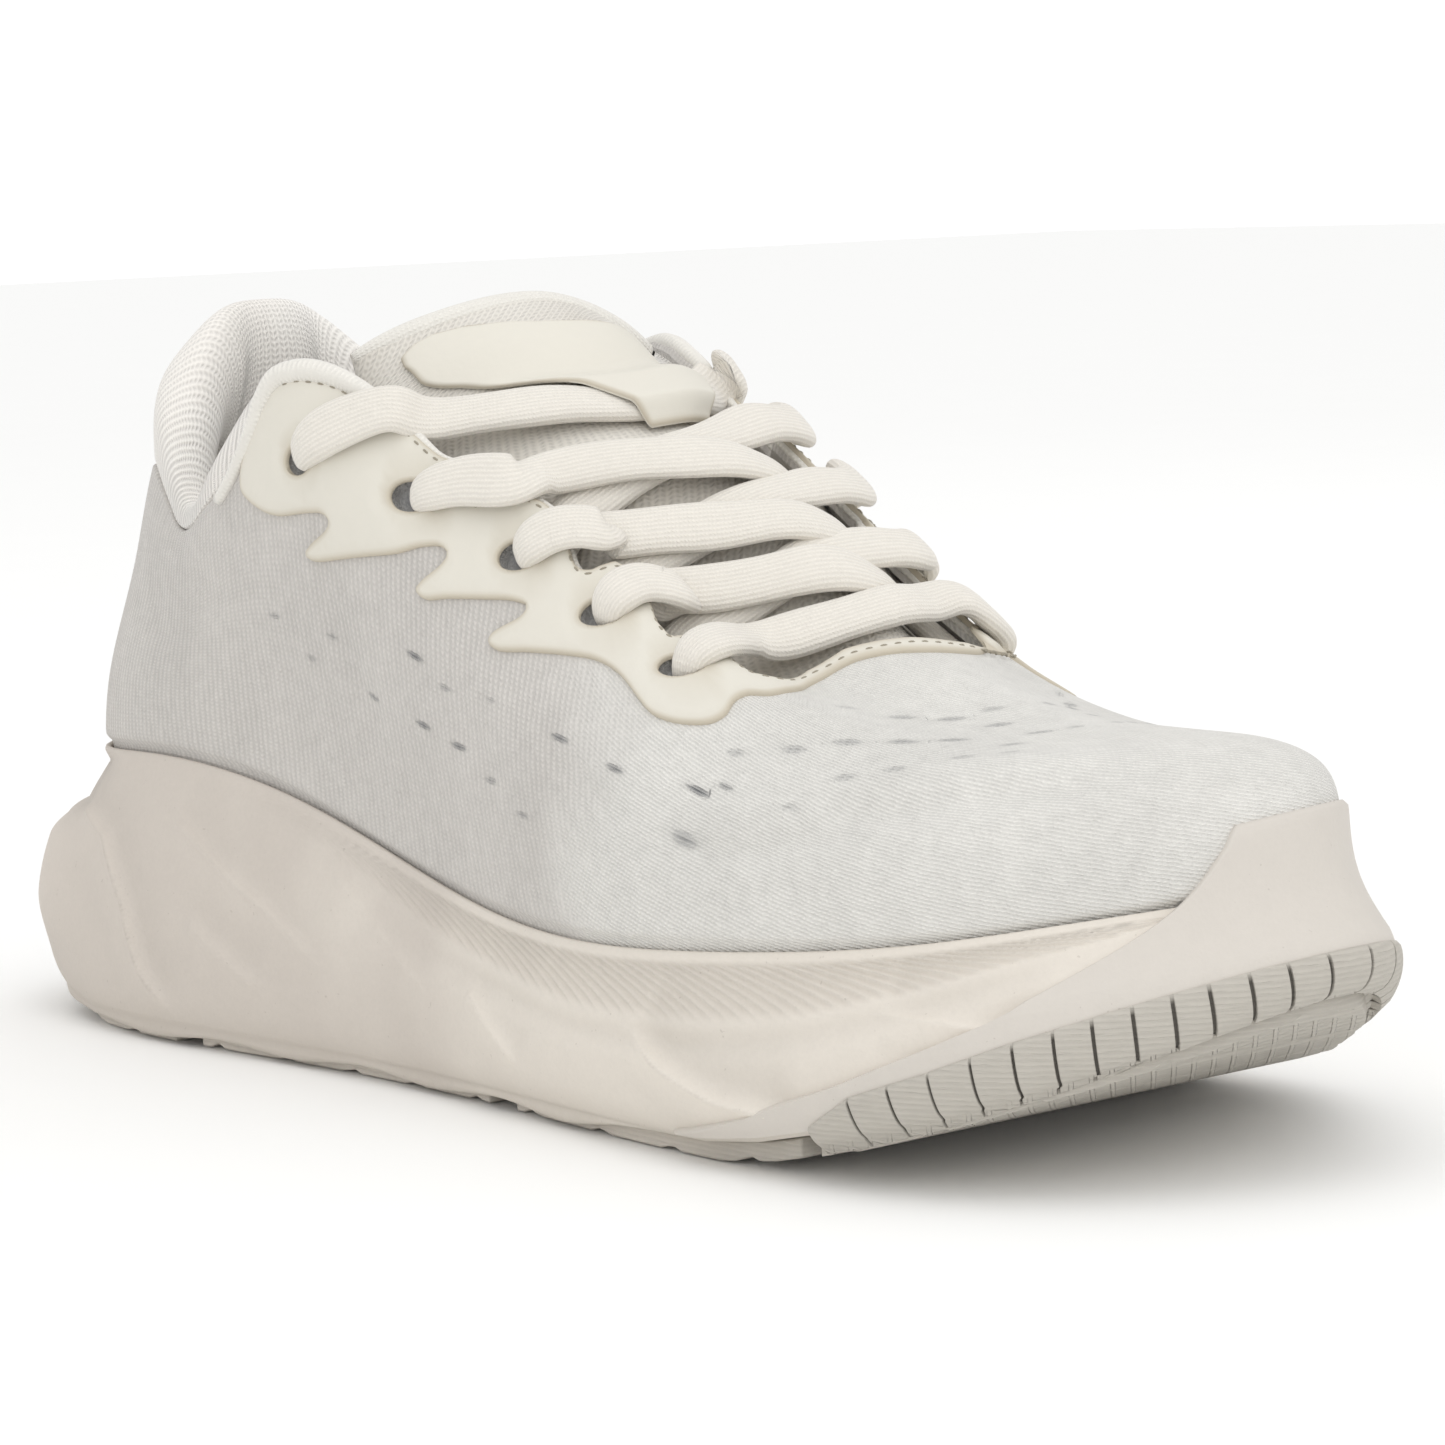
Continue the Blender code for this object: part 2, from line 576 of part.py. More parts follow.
def punch_eyelets(*bodies):
    """A round hole through each body at every eyelet."""
    for station, height in EYELETS[LATERAL] + EYELETS[MEDIAL]:
        centre, normal = flap(station, height, 0.0)
        level = unit(np.cross(normal, [0, 0, 1.0]))
        rings = [circle(centre + normal * out, level, np.cross(normal, level), EYELET_R, 12)
                 for out in (-3.4, 2.6)]
        for body in bodies:
            cut(body, "hole_tool", rings)


# ---------------------------------------------------------------------- tongue
# A place on the tongue is a row, from its top edge (0) to its toe end (7), and an
# across value from -1 (lateral edge) through 0 (crown) to 1 (medial edge).  Rows
# 2 to 6 are the lace rows.  Drops are measured in from the flaps' outer face.
TONGUE_COLS = 9
BODY_ROWS = np.linspace(1, 7, 13)
TIP_ROWS = (0, 0.3, 0.6, 0.9, 1.2, 1.6, 2.0)
TONGUE_BACK = TONGUE_DROP + TONGUE_T
TONGUE_LINING = (TONGUE_BACK + 0.35, TONGUE_BACK + 1.05)    # drops of its two faces
FOLD_ROW = 1.45       # the fold line, just above the top lace row
FOLD_BLOCK = 60       # reach of the block that trims to the fold line
TONGUE_LIFT = 0.35    # clearance under the pieces on the tongue
KEEPER_RISE = 3.6     # how far the lace keeper arches up


def edge_frame(station):
    """Point of the flap's edge, its outward normal, and the direction across the throat."""
    edge = upper(station, 1.0)
    along = unit(upper(station + 0.01, 1.0) - upper(station - 0.01, 1.0))
    rise = edge - upper(station, 0.96)
    return edge, upper_normal(station, 1.0), unit(rise - along * np.dot(rise, along))


def bridge(k, drop):
    """Lace row k of the tongue: under the lateral flap, over the instep, under the medial."""
    frames = [edge_frame(edges[k]) for edges in EDGES]
    rims = [edge - normal * drop for edge, normal, _ in frames]
    run = (rims[MEDIAL] - rims[LATERAL]) / 2
    up = unit(np.cross(run, [0.6, 0, -0.5]))
    up = up if up[2] > 0 else -up
    crown = np.array(CROWN[k], float) - up * (drop - TONGUE_DROP)
    halves = []
    for flank, rim, inward in ((LATERAL, rims[LATERAL], run), (MEDIAL, rims[MEDIAL], -run)):
        eyelet, edge = EYELETS[flank][k][0], EDGES[flank][k]
        leave = frames[flank][2] * np.linalg.norm(crown - rim) * 0.8
        shoulder = 0.5 * (rim + crown) + (leave - inward) / 8
        halves.append([shell(eyelet, 0.74, -drop), shell(0.5 * (eyelet + edge), 0.87, -drop),
                       rim, shoulder])
    return np.array(halves[LATERAL] + [crown] + halves[MEDIAL][::-1])


def tongue_rows(drop):
    """The eight rows of the tongue face."""
    spread = np.linspace(-1, 1, TONGUE_COLS)
    lateral, crown, medial = TONGUE_TOP
    top = []
    for u in spread:
        bow = np.array([abs(u) ** 1.8, abs(u), abs(u) ** 1.9])
        point = crown + ((lateral if u < 0 else medial) - crown) * bow
        top.append(point - unit(np.array([0.62, 0.75 * u, 0.55])) * (drop - TONGUE_DROP))
    top = np.array(top)
    bridges = [bridge(k, drop) for k in range(len(CROWN))]
    second = 0.5 * (top + bridges[0]) + np.outer(1 - spread ** 2, [1.0, 0, 1.2])
    second[:, 1] *= 1 - 0.06 * np.abs(spread)
    toe_end = shell(TOE + 2.3 * spread, 0.82 - 0.04 * spread ** 2, -drop - 2.0)
    return np.array([top, second] + bridges + [toe_end])


FACE_ROWS = tongue_rows(TONGUE_DROP)


def tongue_row(rows, row):
    return natural_spline(rows, np.full(TONGUE_COLS, row))


def tongue_line(rows, row, spread):
    """Points along one row at the given across values."""
    points = tongue_row(rows, row)
    return np.array([natural_spline(points, 4 + 4 * u) for u in spread])


def tongue_piece(name, places, drops):
    """A layer of the tongue between two drops, over the given rows."""
    faces = []
    for drop in drops:
        rows = tongue_rows(drop)
        faces.append(np.array([tongue_line(rows, row, np.linspace(-1, 1, 15))
                               for row in places]))
    return layer(name, *faces, crease=50)


def tongue():
    """Body, tip and lining, cut back from a plane through the straight fold line
    across the instep so that the tip can swing."""
    padding = (TONGUE_DROP, TONGUE_BACK)
    body = tongue_piece("tongue_body", BODY_ROWS, padding)
    tip = tongue_piece("tongue_tip", TIP_ROWS, padding)
    inner = tongue_piece("tongue_lining", BODY_ROWS, TONGUE_LINING)

    fold = tongue_row(tongue_rows(sum(padding) / 2), FOLD_ROW)
    flat = np.array([1.0, 0.0, 1.0])    # keeps to the plane y = 0
    point = 0.5 * (fold[4] + 0.5 * (fold[0] + fold[8])) * flat
    along = unit((fold[4] - 0.5 * (fold[1] + fold[7])) * flat)
    normal = np.array([-along[2], 0.0, along[0]])
    if normal[2] < 0:
        normal = -normal
    reach, wide = along * FOLD_BLOCK, np.array([0, FOLD_BLOCK, 0])
    for piece, sign in ((body, 1), (inner, 1), (tip, -1)):
        rings = []
        for depth in (-FOLD_GAP, FOLD_BLOCK - FOLD_GAP):
            centre = point + normal * sign * depth
            rings.append([centre + reach - wide, centre + reach + wide,
                          centre - reach + wide, centre - reach - wide])
        cut(piece, "fold_tool", rings)


def on_tongue(name, places, spread, lifts):
    """A panel on the tongue face over rows and across values, lifted row by row."""
    faces = []
    for extra in (OVERLAY, 0.0):
        face = []
        for row, lift in zip(places, lifts):
            line = tongue_line(FACE_ROWS, row, spread)
            down = tongue_line(FACE_ROWS, row + 0.02, spread) - line
            sideways = tongue_line(FACE_ROWS, row, spread + 0.01) - line
            normal = unit(np.cross(down, sideways))
            if normal[len(spread) // 2][2] < 0:
                normal = -normal
            face.append(line + normal * (lift + extra))
        faces.append(np.array(face))
    layer(name, *faces, crease=50)


def tongue_overlay():
    on_tongue("tongue_overlay", np.linspace(0.30, 1.05, 5), np.linspace(-0.60, 0.62, 15),
              [TONGUE_LIFT] * 5)


def lace_keeper():
    """A loop that stands off the tongue between its two ends."""
    lifts = [TONGUE_LIFT + KEEPER_RISE * max(math.sin(math.pi * s), 0) ** 0.4
             for s in np.linspace(0, 1, 9)]
    on_tongue("lace_keeper", np.linspace(1.60, 2.38, 9), np.linspace(-0.05, 0.27, 6), lifts)


# ------------------------------------------------------------------------ lace
# The lace is a list of keys: point, direction its flat side faces, half width,
# half thickness.
OVER, UNDER = 3.05, -4.3      # lace centre off the flap's outer face
HIGH, LOW = 4.6, 1.7          # its lift over the crown where two rows cross
LACE_STEPS, LACE_SIDES = 2, 8    # mesh steps per key, sides of the section
# Hidden ends, behind the flap: station, height, offset.
UPPER_TAIL = [(4.52, 0.70, -5.3), (4.42, 0.62, -6.9), (4.33, 0.50, -7.0), (4.25, 0.38, -7.0),
              (4.2, 0.27, -7.3)]
LOWER_TAIL = [(5.62, 0.75, -4.5), (5.56, 0.66, -6.2), (5.48, 0.56, -7.0), (5.36, 0.44, -7.0),
              (5.2, 0.32, -7.0), (5.1, 0.22, -7.3)]
# Over the tongue through the keeper: across value, lift.
KEEPER_RUN = [(0.36, 5.6), (0.29, 2.7), (0.20, 1.62), (0.02, 1.62), (-0.10, 2.4),
              (-0.22, 4.4), (-0.33, 6.6)]
# Aglet profile: distance past the lace's end, radius.
AGLET_PROFILE = ((0.35, 1.5), (0.9, 1.7), (11.5, 1.6), (12.4, 1.2))


def key(place, width=LACE_W, thick=LACE_T):
    return (*place, width, thick)


def tongue_point(u, row, lift):
    """Point lifted off the tongue, and the normal there."""
    down = (tongue_line(FACE_ROWS, row + 0.05, [u])
            - tongue_line(FACE_ROWS, row - 0.05, [u]))[0]
    before, point, after = tongue_line(FACE_ROWS, row, [u - 0.02, u, u + 0.02])
    normal = unit(np.cross(down, after - before))
    normal = normal if normal[2] > 0 else -normal
    return point + normal * lift, normal


def dive(flank, k):
    """From over the flap, away from the throat, down through eyelet k, to under the flap."""
    station, height = EYELETS[flank][k]
    edge = EDGES[flank][k]
    away = unit(upper(station, height) - upper(edge, 1.0))

    def on(share, out):
        return flap(station + share * (edge - station), height + share * (1 - height), out)
    return [key(on(0.62, OVER)), key(on(0.28, OVER), 3.2), key(on(0.05, OVER - 0.9), 2.3, 1.2),
            key((on(0.0, -0.9)[0], away), 2.0, 1.2), key(on(0.05, UNDER + 0.7), 2.2, 1.2),
            key(on(0.28, UNDER), 3.2)]


def cross_over(flank, k, crown_lift):
    """From under one flap at row k, over the tongue and the other flap, into its next eyelet."""
    other = 1 - flank
    sign = 2 * flank - 1
    leave = EDGES[flank][k] + 0.38 * (EDGES[flank][k - 1] - EDGES[flank][k])
    land = EDGES[other][k - 1] + 0.28 * (EDGES[other][k] - EDGES[other][k - 1])
    # Across value towards the first flap, shift up the rows, lift.
    path = ((0.42, -0.40, 2.3), (0.21, -0.49, 0.5 * (2.6 + crown_lift)),
            (0.0, -0.55, crown_lift), (-0.15, -0.60, 0.7 * crown_lift + 2.0),
            (-0.28, -0.66, 6.9))
    keys = [key(flap(leave, 0.99, UNDER - 0.3))]
    keys += [key(tongue_point(sign * u, k + 2 + shift, lift)) for u, shift, lift in path]
    return keys + [key(flap(land, 1.0, OVER + 0.7))] + dive(other, k - 1)


def bar(flank, k):
    """Half a straight row, from the crown over the flap and into eyelet k."""
    sign = 2 * flank - 1
    keys = [key(tongue_point(sign * u, k + 2.0, lift)) for u, lift in ((0.12, 5.0), (0.27, 7.2))]
    return keys + [key(flap(EDGES[flank][k], 1.0, OVER + 0.7))] + dive(flank, k)


def tail(places):
    return [key(flap(*place), 3.1) for place in places]


def lateral_start():
    """From the crown of the lowest row, lateral way first, to the upper hidden end."""
    keys = bar(LATERAL, 4) + cross_over(LATERAL, 4, LOW) + cross_over(MEDIAL, 3, HIGH)
    keys += cross_over(LATERAL, 2, LOW)[:-2]
    # Under the medial flap to the top eyelet, up through it, and over to the keeper.
    (low_station, low_height), (station, height) = EYELETS[MEDIAL][1], EYELETS[MEDIAL][0]
    keys += [key(flap(low_station + 0.04, low_height + 0.004, UNDER + 0.1), 2.1, 1.2)]
    keys += [key(flap(low_station + share * (station - low_station),
                      low_height + share * (height - low_height), UNDER), 2.6)
             for share in (0.35, 0.65)]
    keys += dive(MEDIAL, 0)[4::-1] + [key(flap(EDGES[MEDIAL][0], 1.0, OVER + 0.5))]
    keys += [key(tongue_point(u, 2.0, lift)) for u, lift in KEEPER_RUN]
    keys += [key(flap(EDGES[LATERAL][0], 1.0, OVER + 0.5))] + dive(LATERAL, 0)[:5]
    return keys + tail(UPPER_TAIL)


def medial_start():
    """From the crown of the lowest row, medial way first, to the lower hidden end."""
    keys = bar(MEDIAL, 4) + cross_over(MEDIAL, 4, HIGH) + cross_over(LATERAL, 3, LOW)
    return keys + cross_over(MEDIAL, 2, HIGH)[:-1] + tail(LOWER_TAIL)


def align_ways(points, ways):
    """Flips ways where needed to stay continuous; the section is symmetric."""
    steps = unit(np.diff(points, axis=0))
    for i in range(1, len(ways)):
        before, after = steps[i - 1], steps[min(i, len(steps) - 1)]
        axis = np.cross(before, after)
        carried = ways[i - 1]
        cosine = float(np.dot(before, after))
        if cosine > -0.95:
            turn = np.cross(axis, carried)
            carried = carried + turn + np.cross(axis, turn) / (1 + cosine)
        if np.dot(carried, ways[i]) < 0:
            ways[i] = -ways[i]


def signed_power(values, power):
    return np.sign(values) * np.abs(values) ** power


def sweep(name, keys):
    """A flat padded lace along smoothed keys; returns its centre line and headings."""
    points, ways = (np.array([item[i] for item in keys]) for i in (0, 1))
    sizes = np.array([item[2:] for item in keys])
    align_ways(points, ways)
    place = np.arange((len(points) - 1) * LACE_STEPS + 1) / LACE_STEPS
    i = np.minimum(place.astype(int), len(points) - 2)
    s = (place - i)[:, None]
    slopes = np.vstack([points[1] - points[0], (points[2:] - points[:-2]) / 2,
                        points[-1] - points[-2]])
    step = np.linalg.norm(points[i + 1] - points[i], axis=-1, keepdims=True)

    def limit(slope):
        """Keeps a slope no longer than the step, so that the lace doesn't overshoot."""
        length = np.linalg.norm(slope, axis=-1, keepdims=True)
        return slope * np.minimum(1, step / np.maximum(length, 1e-9))
    centre = hermite(points[i], points[i + 1], limit(slopes[i]), limit(slopes[i + 1]), s)
    heading = unit(np.vstack([centre[1] - centre[0], centre[2:] - centre[:-2],
                              centre[-1] - centre[-2]]))
    way = ways[i] * (1 - s) + ways[i + 1] * s
    way = unit(way - heading * (way * heading).sum(-1, keepdims=True))
    size = sizes[i] * (1 - s) + sizes[i + 1] * s
    broad = np.cross(heading, way)
    angles = np.linspace(0, 2 * math.pi, LACE_SIDES, endpoint=False) + math.pi / LACE_SIDES
    rings = (centre[:, None]
             + broad[:, None] * (size[:, :1] * signed_power(np.cos(angles), 0.8))[..., None]
             + way[:, None] * (size[:, 1:] * signed_power(np.sin(angles), 0.7))[..., None])
    tube(name, rings, crease=60)
    return centre, heading


def aglet(name, end, heading):
    """A round tip past the lace's end."""
    level = unit(np.cross(heading, [0.3, 1.0, 0.2]))
    tube(name, [circle(end + heading * past, level, np.cross(heading, level), radius, 10)
                for past, radius in AGLET_PROFILE])


def lace():
    centre, heading = sweep("lace", lateral_start()[::-1] + medial_start())
    aglet("aglet_upper", centre[0], -heading[0])
    aglet("aglet_lower", centre[-1], heading[-1])


# ----------------------------------------------------------------------- build
midsole()
outsole()
toe_bumper()
bed_plate("strobel_board", BOARD_INSET, LAYER_GAP, BOARD)
bed_plate("sockliner", SOCK_INSET, SOCK_LOW, SOCK)
knit = upper_knit()
lining()
stiffener("toe_puff", 28, 38, KNIT_ROWS[1:3] if False else (0.02, 0.16, 0.34))
stiffener("heel_counter", -8, 8, (0.02,) + KNIT_ROWS[1:-1])
collar_roll()
punch_eyelets(eyestay_overlay(), knit)
tongue()
tongue_overlay()
lace_keeper()
lace()
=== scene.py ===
# A right-foot running shoe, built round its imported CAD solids.
# Lengths are in millimetres in the shoe's own datum frame: x runs from heel to toe, z is up,
# the lateral side is at -y and the medial side at +y. world() turns them into metres.
# Two coordinates recur: "turn" is the place round the shoe in stations (0 heel, up the
# lateral side, 11 toe tip, back along the medial side), and "rise" is a share of a height.
import math
from functools import cached_property

import bpy
import bmesh
import numpy as np
from mathutils import Matrix, Vector
from mathutils.geometry import delaunay_2d_cdt

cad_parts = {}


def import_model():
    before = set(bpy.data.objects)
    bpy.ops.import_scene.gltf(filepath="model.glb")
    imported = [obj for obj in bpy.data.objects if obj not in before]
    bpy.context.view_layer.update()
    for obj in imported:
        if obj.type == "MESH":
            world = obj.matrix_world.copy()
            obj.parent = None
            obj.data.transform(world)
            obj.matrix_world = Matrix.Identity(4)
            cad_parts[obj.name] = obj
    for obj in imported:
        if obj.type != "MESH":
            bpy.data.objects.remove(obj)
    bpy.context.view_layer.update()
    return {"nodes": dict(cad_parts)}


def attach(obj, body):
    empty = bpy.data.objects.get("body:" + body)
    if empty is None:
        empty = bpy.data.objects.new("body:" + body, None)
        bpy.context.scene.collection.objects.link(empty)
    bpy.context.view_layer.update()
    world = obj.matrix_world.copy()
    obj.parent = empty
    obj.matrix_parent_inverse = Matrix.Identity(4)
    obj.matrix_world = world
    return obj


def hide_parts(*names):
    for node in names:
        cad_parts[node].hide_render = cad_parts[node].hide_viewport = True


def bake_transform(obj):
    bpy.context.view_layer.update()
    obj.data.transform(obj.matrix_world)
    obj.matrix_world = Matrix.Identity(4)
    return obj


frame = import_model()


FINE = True

# ------------------------------------------------------------ sizes and tables
MM = 0.001
DATUM = np.array([135.62, 1.282, 0.0])   # world origin in the shoe's frame
STATIONS = 22         # stations round every loop
TOE = STATIONS // 2   # station of the toe tip
KNIT_THICK = 2.2
LAYER_GAP = 0.3       # clearance between touching layers
RUBBER = 3.0          # outsole rubber thickness
LIP_INSET = 1.15      # midsole rim thickness at its top edge
FLOOR_INSET = 5.6     # foot of the midsole's cup, in from the top line
BOARD = 1.5           # strobel board thickness
LACE_W = 3.7          # half width of the flat lace
LACE_T = 1.15         # half thickness of the lace
TONGUE_DROP = 7.0     # tongue face below the flaps' outer face
TONGUE_T = 4.2        # tongue padding thickness
RISE_MM = 88.0        # nominal height of the upper, for knit UVs and wrinkles
FILM_MM = 80.0        # nominal height of the upper in the film's flat plane
SIDE_MM = 32.0        # nominal length of a station along the sole, for UVs

# Top line of the midsole and four loops up the upper to its rim: x, y, z at each station.
MID_TOP = [
    (3, 0, 46), (9, -19, 46), (25, -29.5, 46.5), (50, -33.5, 47), (80, -34, 43.5),
    (110, -35.5, 36.5), (140, -39.5, 30.5), (172, -45, 29), (205, -47, 31), (236, -41.5, 34),
    (260, -26, 38), (272, 4, 40.5), (252, 31, 38.5), (235, 43, 35), (208, 48, 31.5),
    (176, 46, 29.5), (146, 39.5, 31), (115, 34, 36), (84, 32.5, 42), (52, 32.5, 46),
    (26, 29, 46.5), (9, 18.5, 46)]
LOOP_A = [
    (9, 0, 61), (12, -18.5, 60), (27, -29.5, 60), (51, -34.5, 60), (80, -35, 58),
    (110, -36.5, 50), (139, -41, 45), (170, -46.5, 43), (203, -47.5, 44), (233, -41.5, 45),
    (257, -26, 48), (272, 4, 51), (253, 30, 48.5), (233, 42, 45), (204, 46.5, 43.5),
    (174, 47, 43.5), (145, 41, 46), (115, 35, 52), (84, 33.5, 57), (53, 33, 60), (27, 29, 60),
    (12, 18, 60)]
LOOP_B = [
    (16.5, 0, 79), (19.5, -17, 79), (33, -28.5, 76), (54, -34.5, 71), (80, -37, 76),
    (109, -39, 72), (136, -41, 64), (165, -43.5, 59), (195, -42, 56.5), (223, -35, 55.5),
    (246, -21.5, 58), (259, 5, 59.5), (246, 25, 57), (224, 37, 53.5), (197, 42, 54),
    (169, 43, 59), (141, 41, 66), (113, 37.5, 72), (84, 36, 75), (55, 34, 71), (33, 28.5, 76),
    (19.5, 17, 79)]
LOOP_C = [
    (24.5, 0, 99), (26, -15.5, 98), (38.5, -28, 92), (56.5, -35, 82), (81, -38.5, 96),
    (107, -38, 95), (131, -35, 84), (157, -33, 76), (182, -31, 69), (204, -25, 64),
    (218, -14, 61.5), (225, 4, 61.5), (216, 18, 60), (205, 27, 60.5), (184, 31.5, 65.5),
    (161, 34.5, 76.5), (135, 36, 87), (110, 38, 94), (85, 38, 95), (58, 34.5, 82),
    (38.5, 28, 92), (26, 15.5, 98)]
RIM = [
    (29.5, 0, 121), (32, -13, 118.5), (44, -24.5, 104), (58, -32.5, 91), (82, -37, 111),
    (104, -32, 110.5), (127, -28, 99.5), (148, -25, 90), (166, -19.5, 76), (180, -16, 67.5),
    (188, -8, 70), (192, 4, 71), (192, 15, 69.5), (186, 20, 71.5), (171, 22, 80.5),
    (152, 24, 92), (130, 27, 104), (108, 33, 112), (86, 36, 112), (60, 32, 92),
    (44, 24.5, 104), (32, 13, 118.5)]
# Plan of the tread edge (x, y), and how far the sole's side swells out between it and the
# top line, at each station.
TREAD = [
    (-7, 0), (0, -22), (14, -34), (42, -40), (76, -39.5), (108, -39), (140, -41), (175, -45),
    (208, -46.5), (240, -43), (264, -28), (279, 5), (259, 28), (238, 44), (210, 50),
    (178, 47.5), (146, 41.5), (112, 37.5), (78, 38.5), (44, 40), (15, 34.5), (0, 22)]
SWELL = [8.5, 7, 5, 4, 3.5, 3.5, 3.5, 3.5, 3.5, 3, 3, 4,
         3, 3, 3.5, 3.5, 3.5, 3.5, 3.5, 4, 5.5, 8]
# Rocker of the underside, x then z: flat from the heel to the ball, then toe spring.
ROCKER = ([-12, -6, 8, 28, 60, 200, 212, 230, 245, 254, 262, 270, 278, 284],
          [10, 7, 2.5, 0, 0, 0, 1.4, 5.2, 9.6, 12.8, 15.8, 19.3, 24, 28])
# Height of the footbed, x then z: a drop from heel to ball.
BED = ([-10, 30, 60, 90, 120, 150, 180, 205, 225, 245, 265, 290],
       [33, 32, 31, 28.5, 25, 21.5, 19.5, 19.5, 21, 24, 28, 33])
# Collar, by stations from the heel: rise of the lining's edge, and thickness of the padding.
SEAM_TURN = [0, 1, 2, 3, 4, 5.6]
SEAM_RISE = [0.69, 0.70, 0.78, 0.89, 0.90, 0.93]
COLLAR_THICK = [11, 11.5, 9, 6.5, 5.5, 5.0]
# Lateral ("L") and medial ("M") eyelets from the ankle to the toe: turn, rise.
ROWS = {"L": [(4.62, 0.77), (5.66, 0.83), (6.58, 0.837), (7.30, 0.80), (7.97, 0.757)],
        "M": [(17.35, 0.77), (16.4, 0.82), (15.55, 0.83), (14.8, 0.80), (14.05, 0.757)]}
# Turn where each row crosses the flap's edge, and the crown of the tongue there (x, y, z).
EDGES = {"L": [5.42, 6.35, 7.1, 7.75, 8.6], "M": [16.5, 15.75, 15.0, 14.2, 13.3]}
CROWN = [(126, 2, 108.5), (140, 2, 101.5), (153.5, 2.5, 94), (167, 3, 85.5), (179.5, 4, 75.5)]
# Top edge of the tongue: lateral end, crown, medial end.
TONGUE_TOP = np.array([(93, -26, 116.0), (104.5, 2, 123.4), (107, 28.5, 114.0)])


# --------------------------------------------------------------- shared curves
def unit(vectors):
    return vectors / np.linalg.norm(vectors, axis=-1, keepdims=True)


def hermite(share, start, start_slope, end, end_slope):
    return ((1 + 2 * share) * (1 - share) ** 2 * start + share * (1 - share) ** 2 * start_slope
            + share * share * (3 - 2 * share) * end - share * share * (1 - share) * end_slope)


def closed_spline(table):
    """Closed cubic spline through a table, one knot per station."""
    knots = np.array(table, float)
    knots = knots.reshape(len(knots), -1)
    count = len(knots)
    same = np.eye(count)
    matrix = 4 * same + np.roll(same, 1, 0) + np.roll(same, -1, 0)
    slope = np.linalg.solve(matrix, 3 * (np.roll(knots, -1, 0) - np.roll(knots, 1, 0)))

    def curve(turn):
        turn = np.asarray(turn, float) % count
        i = np.floor(turn).astype(int) % count
        j = (i + 1) % count
        share = (turn - np.floor(turn))[..., None]
        return hermite(share, knots[i], slope[i], knots[j], slope[j])
    return curve


def open_spline(rows, at):
    """Natural cubic through rows (count, ..., 3) at 0..count-1, `at` shaped like one row."""
    rows = np.array(rows, float)
    last = len(rows) - 1
    matrix = np.diag([1.0] + [4.0] * (last - 1) + [1.0])
    for i in range(1, last):
        matrix[i, i - 1] = matrix[i, i + 1] = 1
    jump = np.zeros_like(rows)
    jump[1:last] = 6 * (rows[2:] - 2 * rows[1:-1] + rows[:-2])
    bend = np.linalg.solve(matrix, jump.reshape(last + 1, -1)).reshape(rows.shape)
    at = np.asarray(at, float)
    i = np.clip(np.floor(at).astype(int), 0, last - 1)
    share = (at - i)[..., None]
    here = tuple(np.indices(at.shape))
    start, end = (i,) + here, (i + 1,) + here
    return ((1 - share) * rows[start] + share * rows[end]
            + (((1 - share) ** 3 - (1 - share)) * bend[start]
               + (share ** 3 - share) * bend[end]) / 6)


def step(values, start, end):
    """Smooth step from 0 at start to 1 at end."""
    share = np.clip((np.asarray(values, float) - start) / (end - start), 0, 1)
    return share * share * (3 - 2 * share)


def bell(values, width):
    return np.exp(-(values / width) ** 2)


def quarter_round(share):
    """Profile of a rounded edge: 0 at the edge, 1 from a share of 1 on."""
    return np.sqrt(1 - (1 - np.clip(share, 0, 1)) ** 2)


def lookup(values, table):
    """Straight-line interpolation in a table of pairs."""
    return np.interp(values, *np.array(table, float).T)


def run_lengths(points):
    """Length along a polyline up to each of its points."""
    return np.concatenate([[0], np.cumsum(np.linalg.norm(np.diff(points, axis=0), axis=1))])


def relax(values, passes):
    """Smooths a run of values in place, holding its ends."""
    for _ in range(passes):
        values[1:-1] = 0.25 * values[:-2] + 0.5 * values[1:-1] + 0.25 * values[2:]
    return values


def line_distance(x, z, line):
    """Signed distance to a polyline (positive to its left) and the share along it."""
    line = np.array(line, float)
    best = np.full(x.shape, 1e9)
    sign = np.ones(x.shape)
    along = np.zeros(x.shape)
    run = run_lengths(line)
    for i in range(len(line) - 1):
        start, way = line[i], line[i + 1] - line[i]
        share = ((x - start[0]) * way[0] + (z - start[1]) * way[1]) / (way @ way)
        share = np.clip(share, 0, 1)
        off_x, off_z = x - start[0] - share * way[0], z - start[1] - share * way[1]
        away = np.hypot(off_x, off_z)
        near = away < best
        best = np.where(near, away, best)
        sign = np.where(near, np.sign(way[0] * off_z - way[1] * off_x), sign)
        along = np.where(near, (run[i] + share * (run[i + 1] - run[i])) / run[-1], along)
    return best * sign, along


def smooth_curve(points, spacing):
    """Centripetal spline through points, resampled at even spacing."""
    points = np.array(points, float)
    points = np.vstack([2 * points[0] - points[1], points, 2 * points[-1] - points[-2]])
    fine = []
    for i in range(1, len(points) - 2):
        four = points[i - 1:i + 3]
        gaps = np.maximum(np.linalg.norm(np.diff(four, axis=0), axis=1), 1e-9) ** 0.5
        knot = np.concatenate([[0], np.cumsum(gaps)])
        x = np.linspace(knot[1], knot[2], 12, endpoint=False)[:, None]

        def between(first, second, j, k):
            return ((knot[k] - x) * first + (x - knot[j]) * second) / (knot[k] - knot[j])
        three = [between(four[j], four[j + 1], j, j + 1) for j in range(3)]
        two = [between(three[j], three[j + 1], j, j + 2) for j in range(2)]
        fine.append(between(two[0], two[1], 1, 2))
    fine = np.vstack(fine + [points[-2][None]])
    run = run_lengths(fine)
    count = max(int(round(run[-1] / spacing)), 3)
    return resample(fine, run, np.linspace(0, run[-1], count + 1))


def resample(values, run, at):
    return np.stack([np.interp(at, run, values[:, k]) for k in range(values.shape[1])], 1)


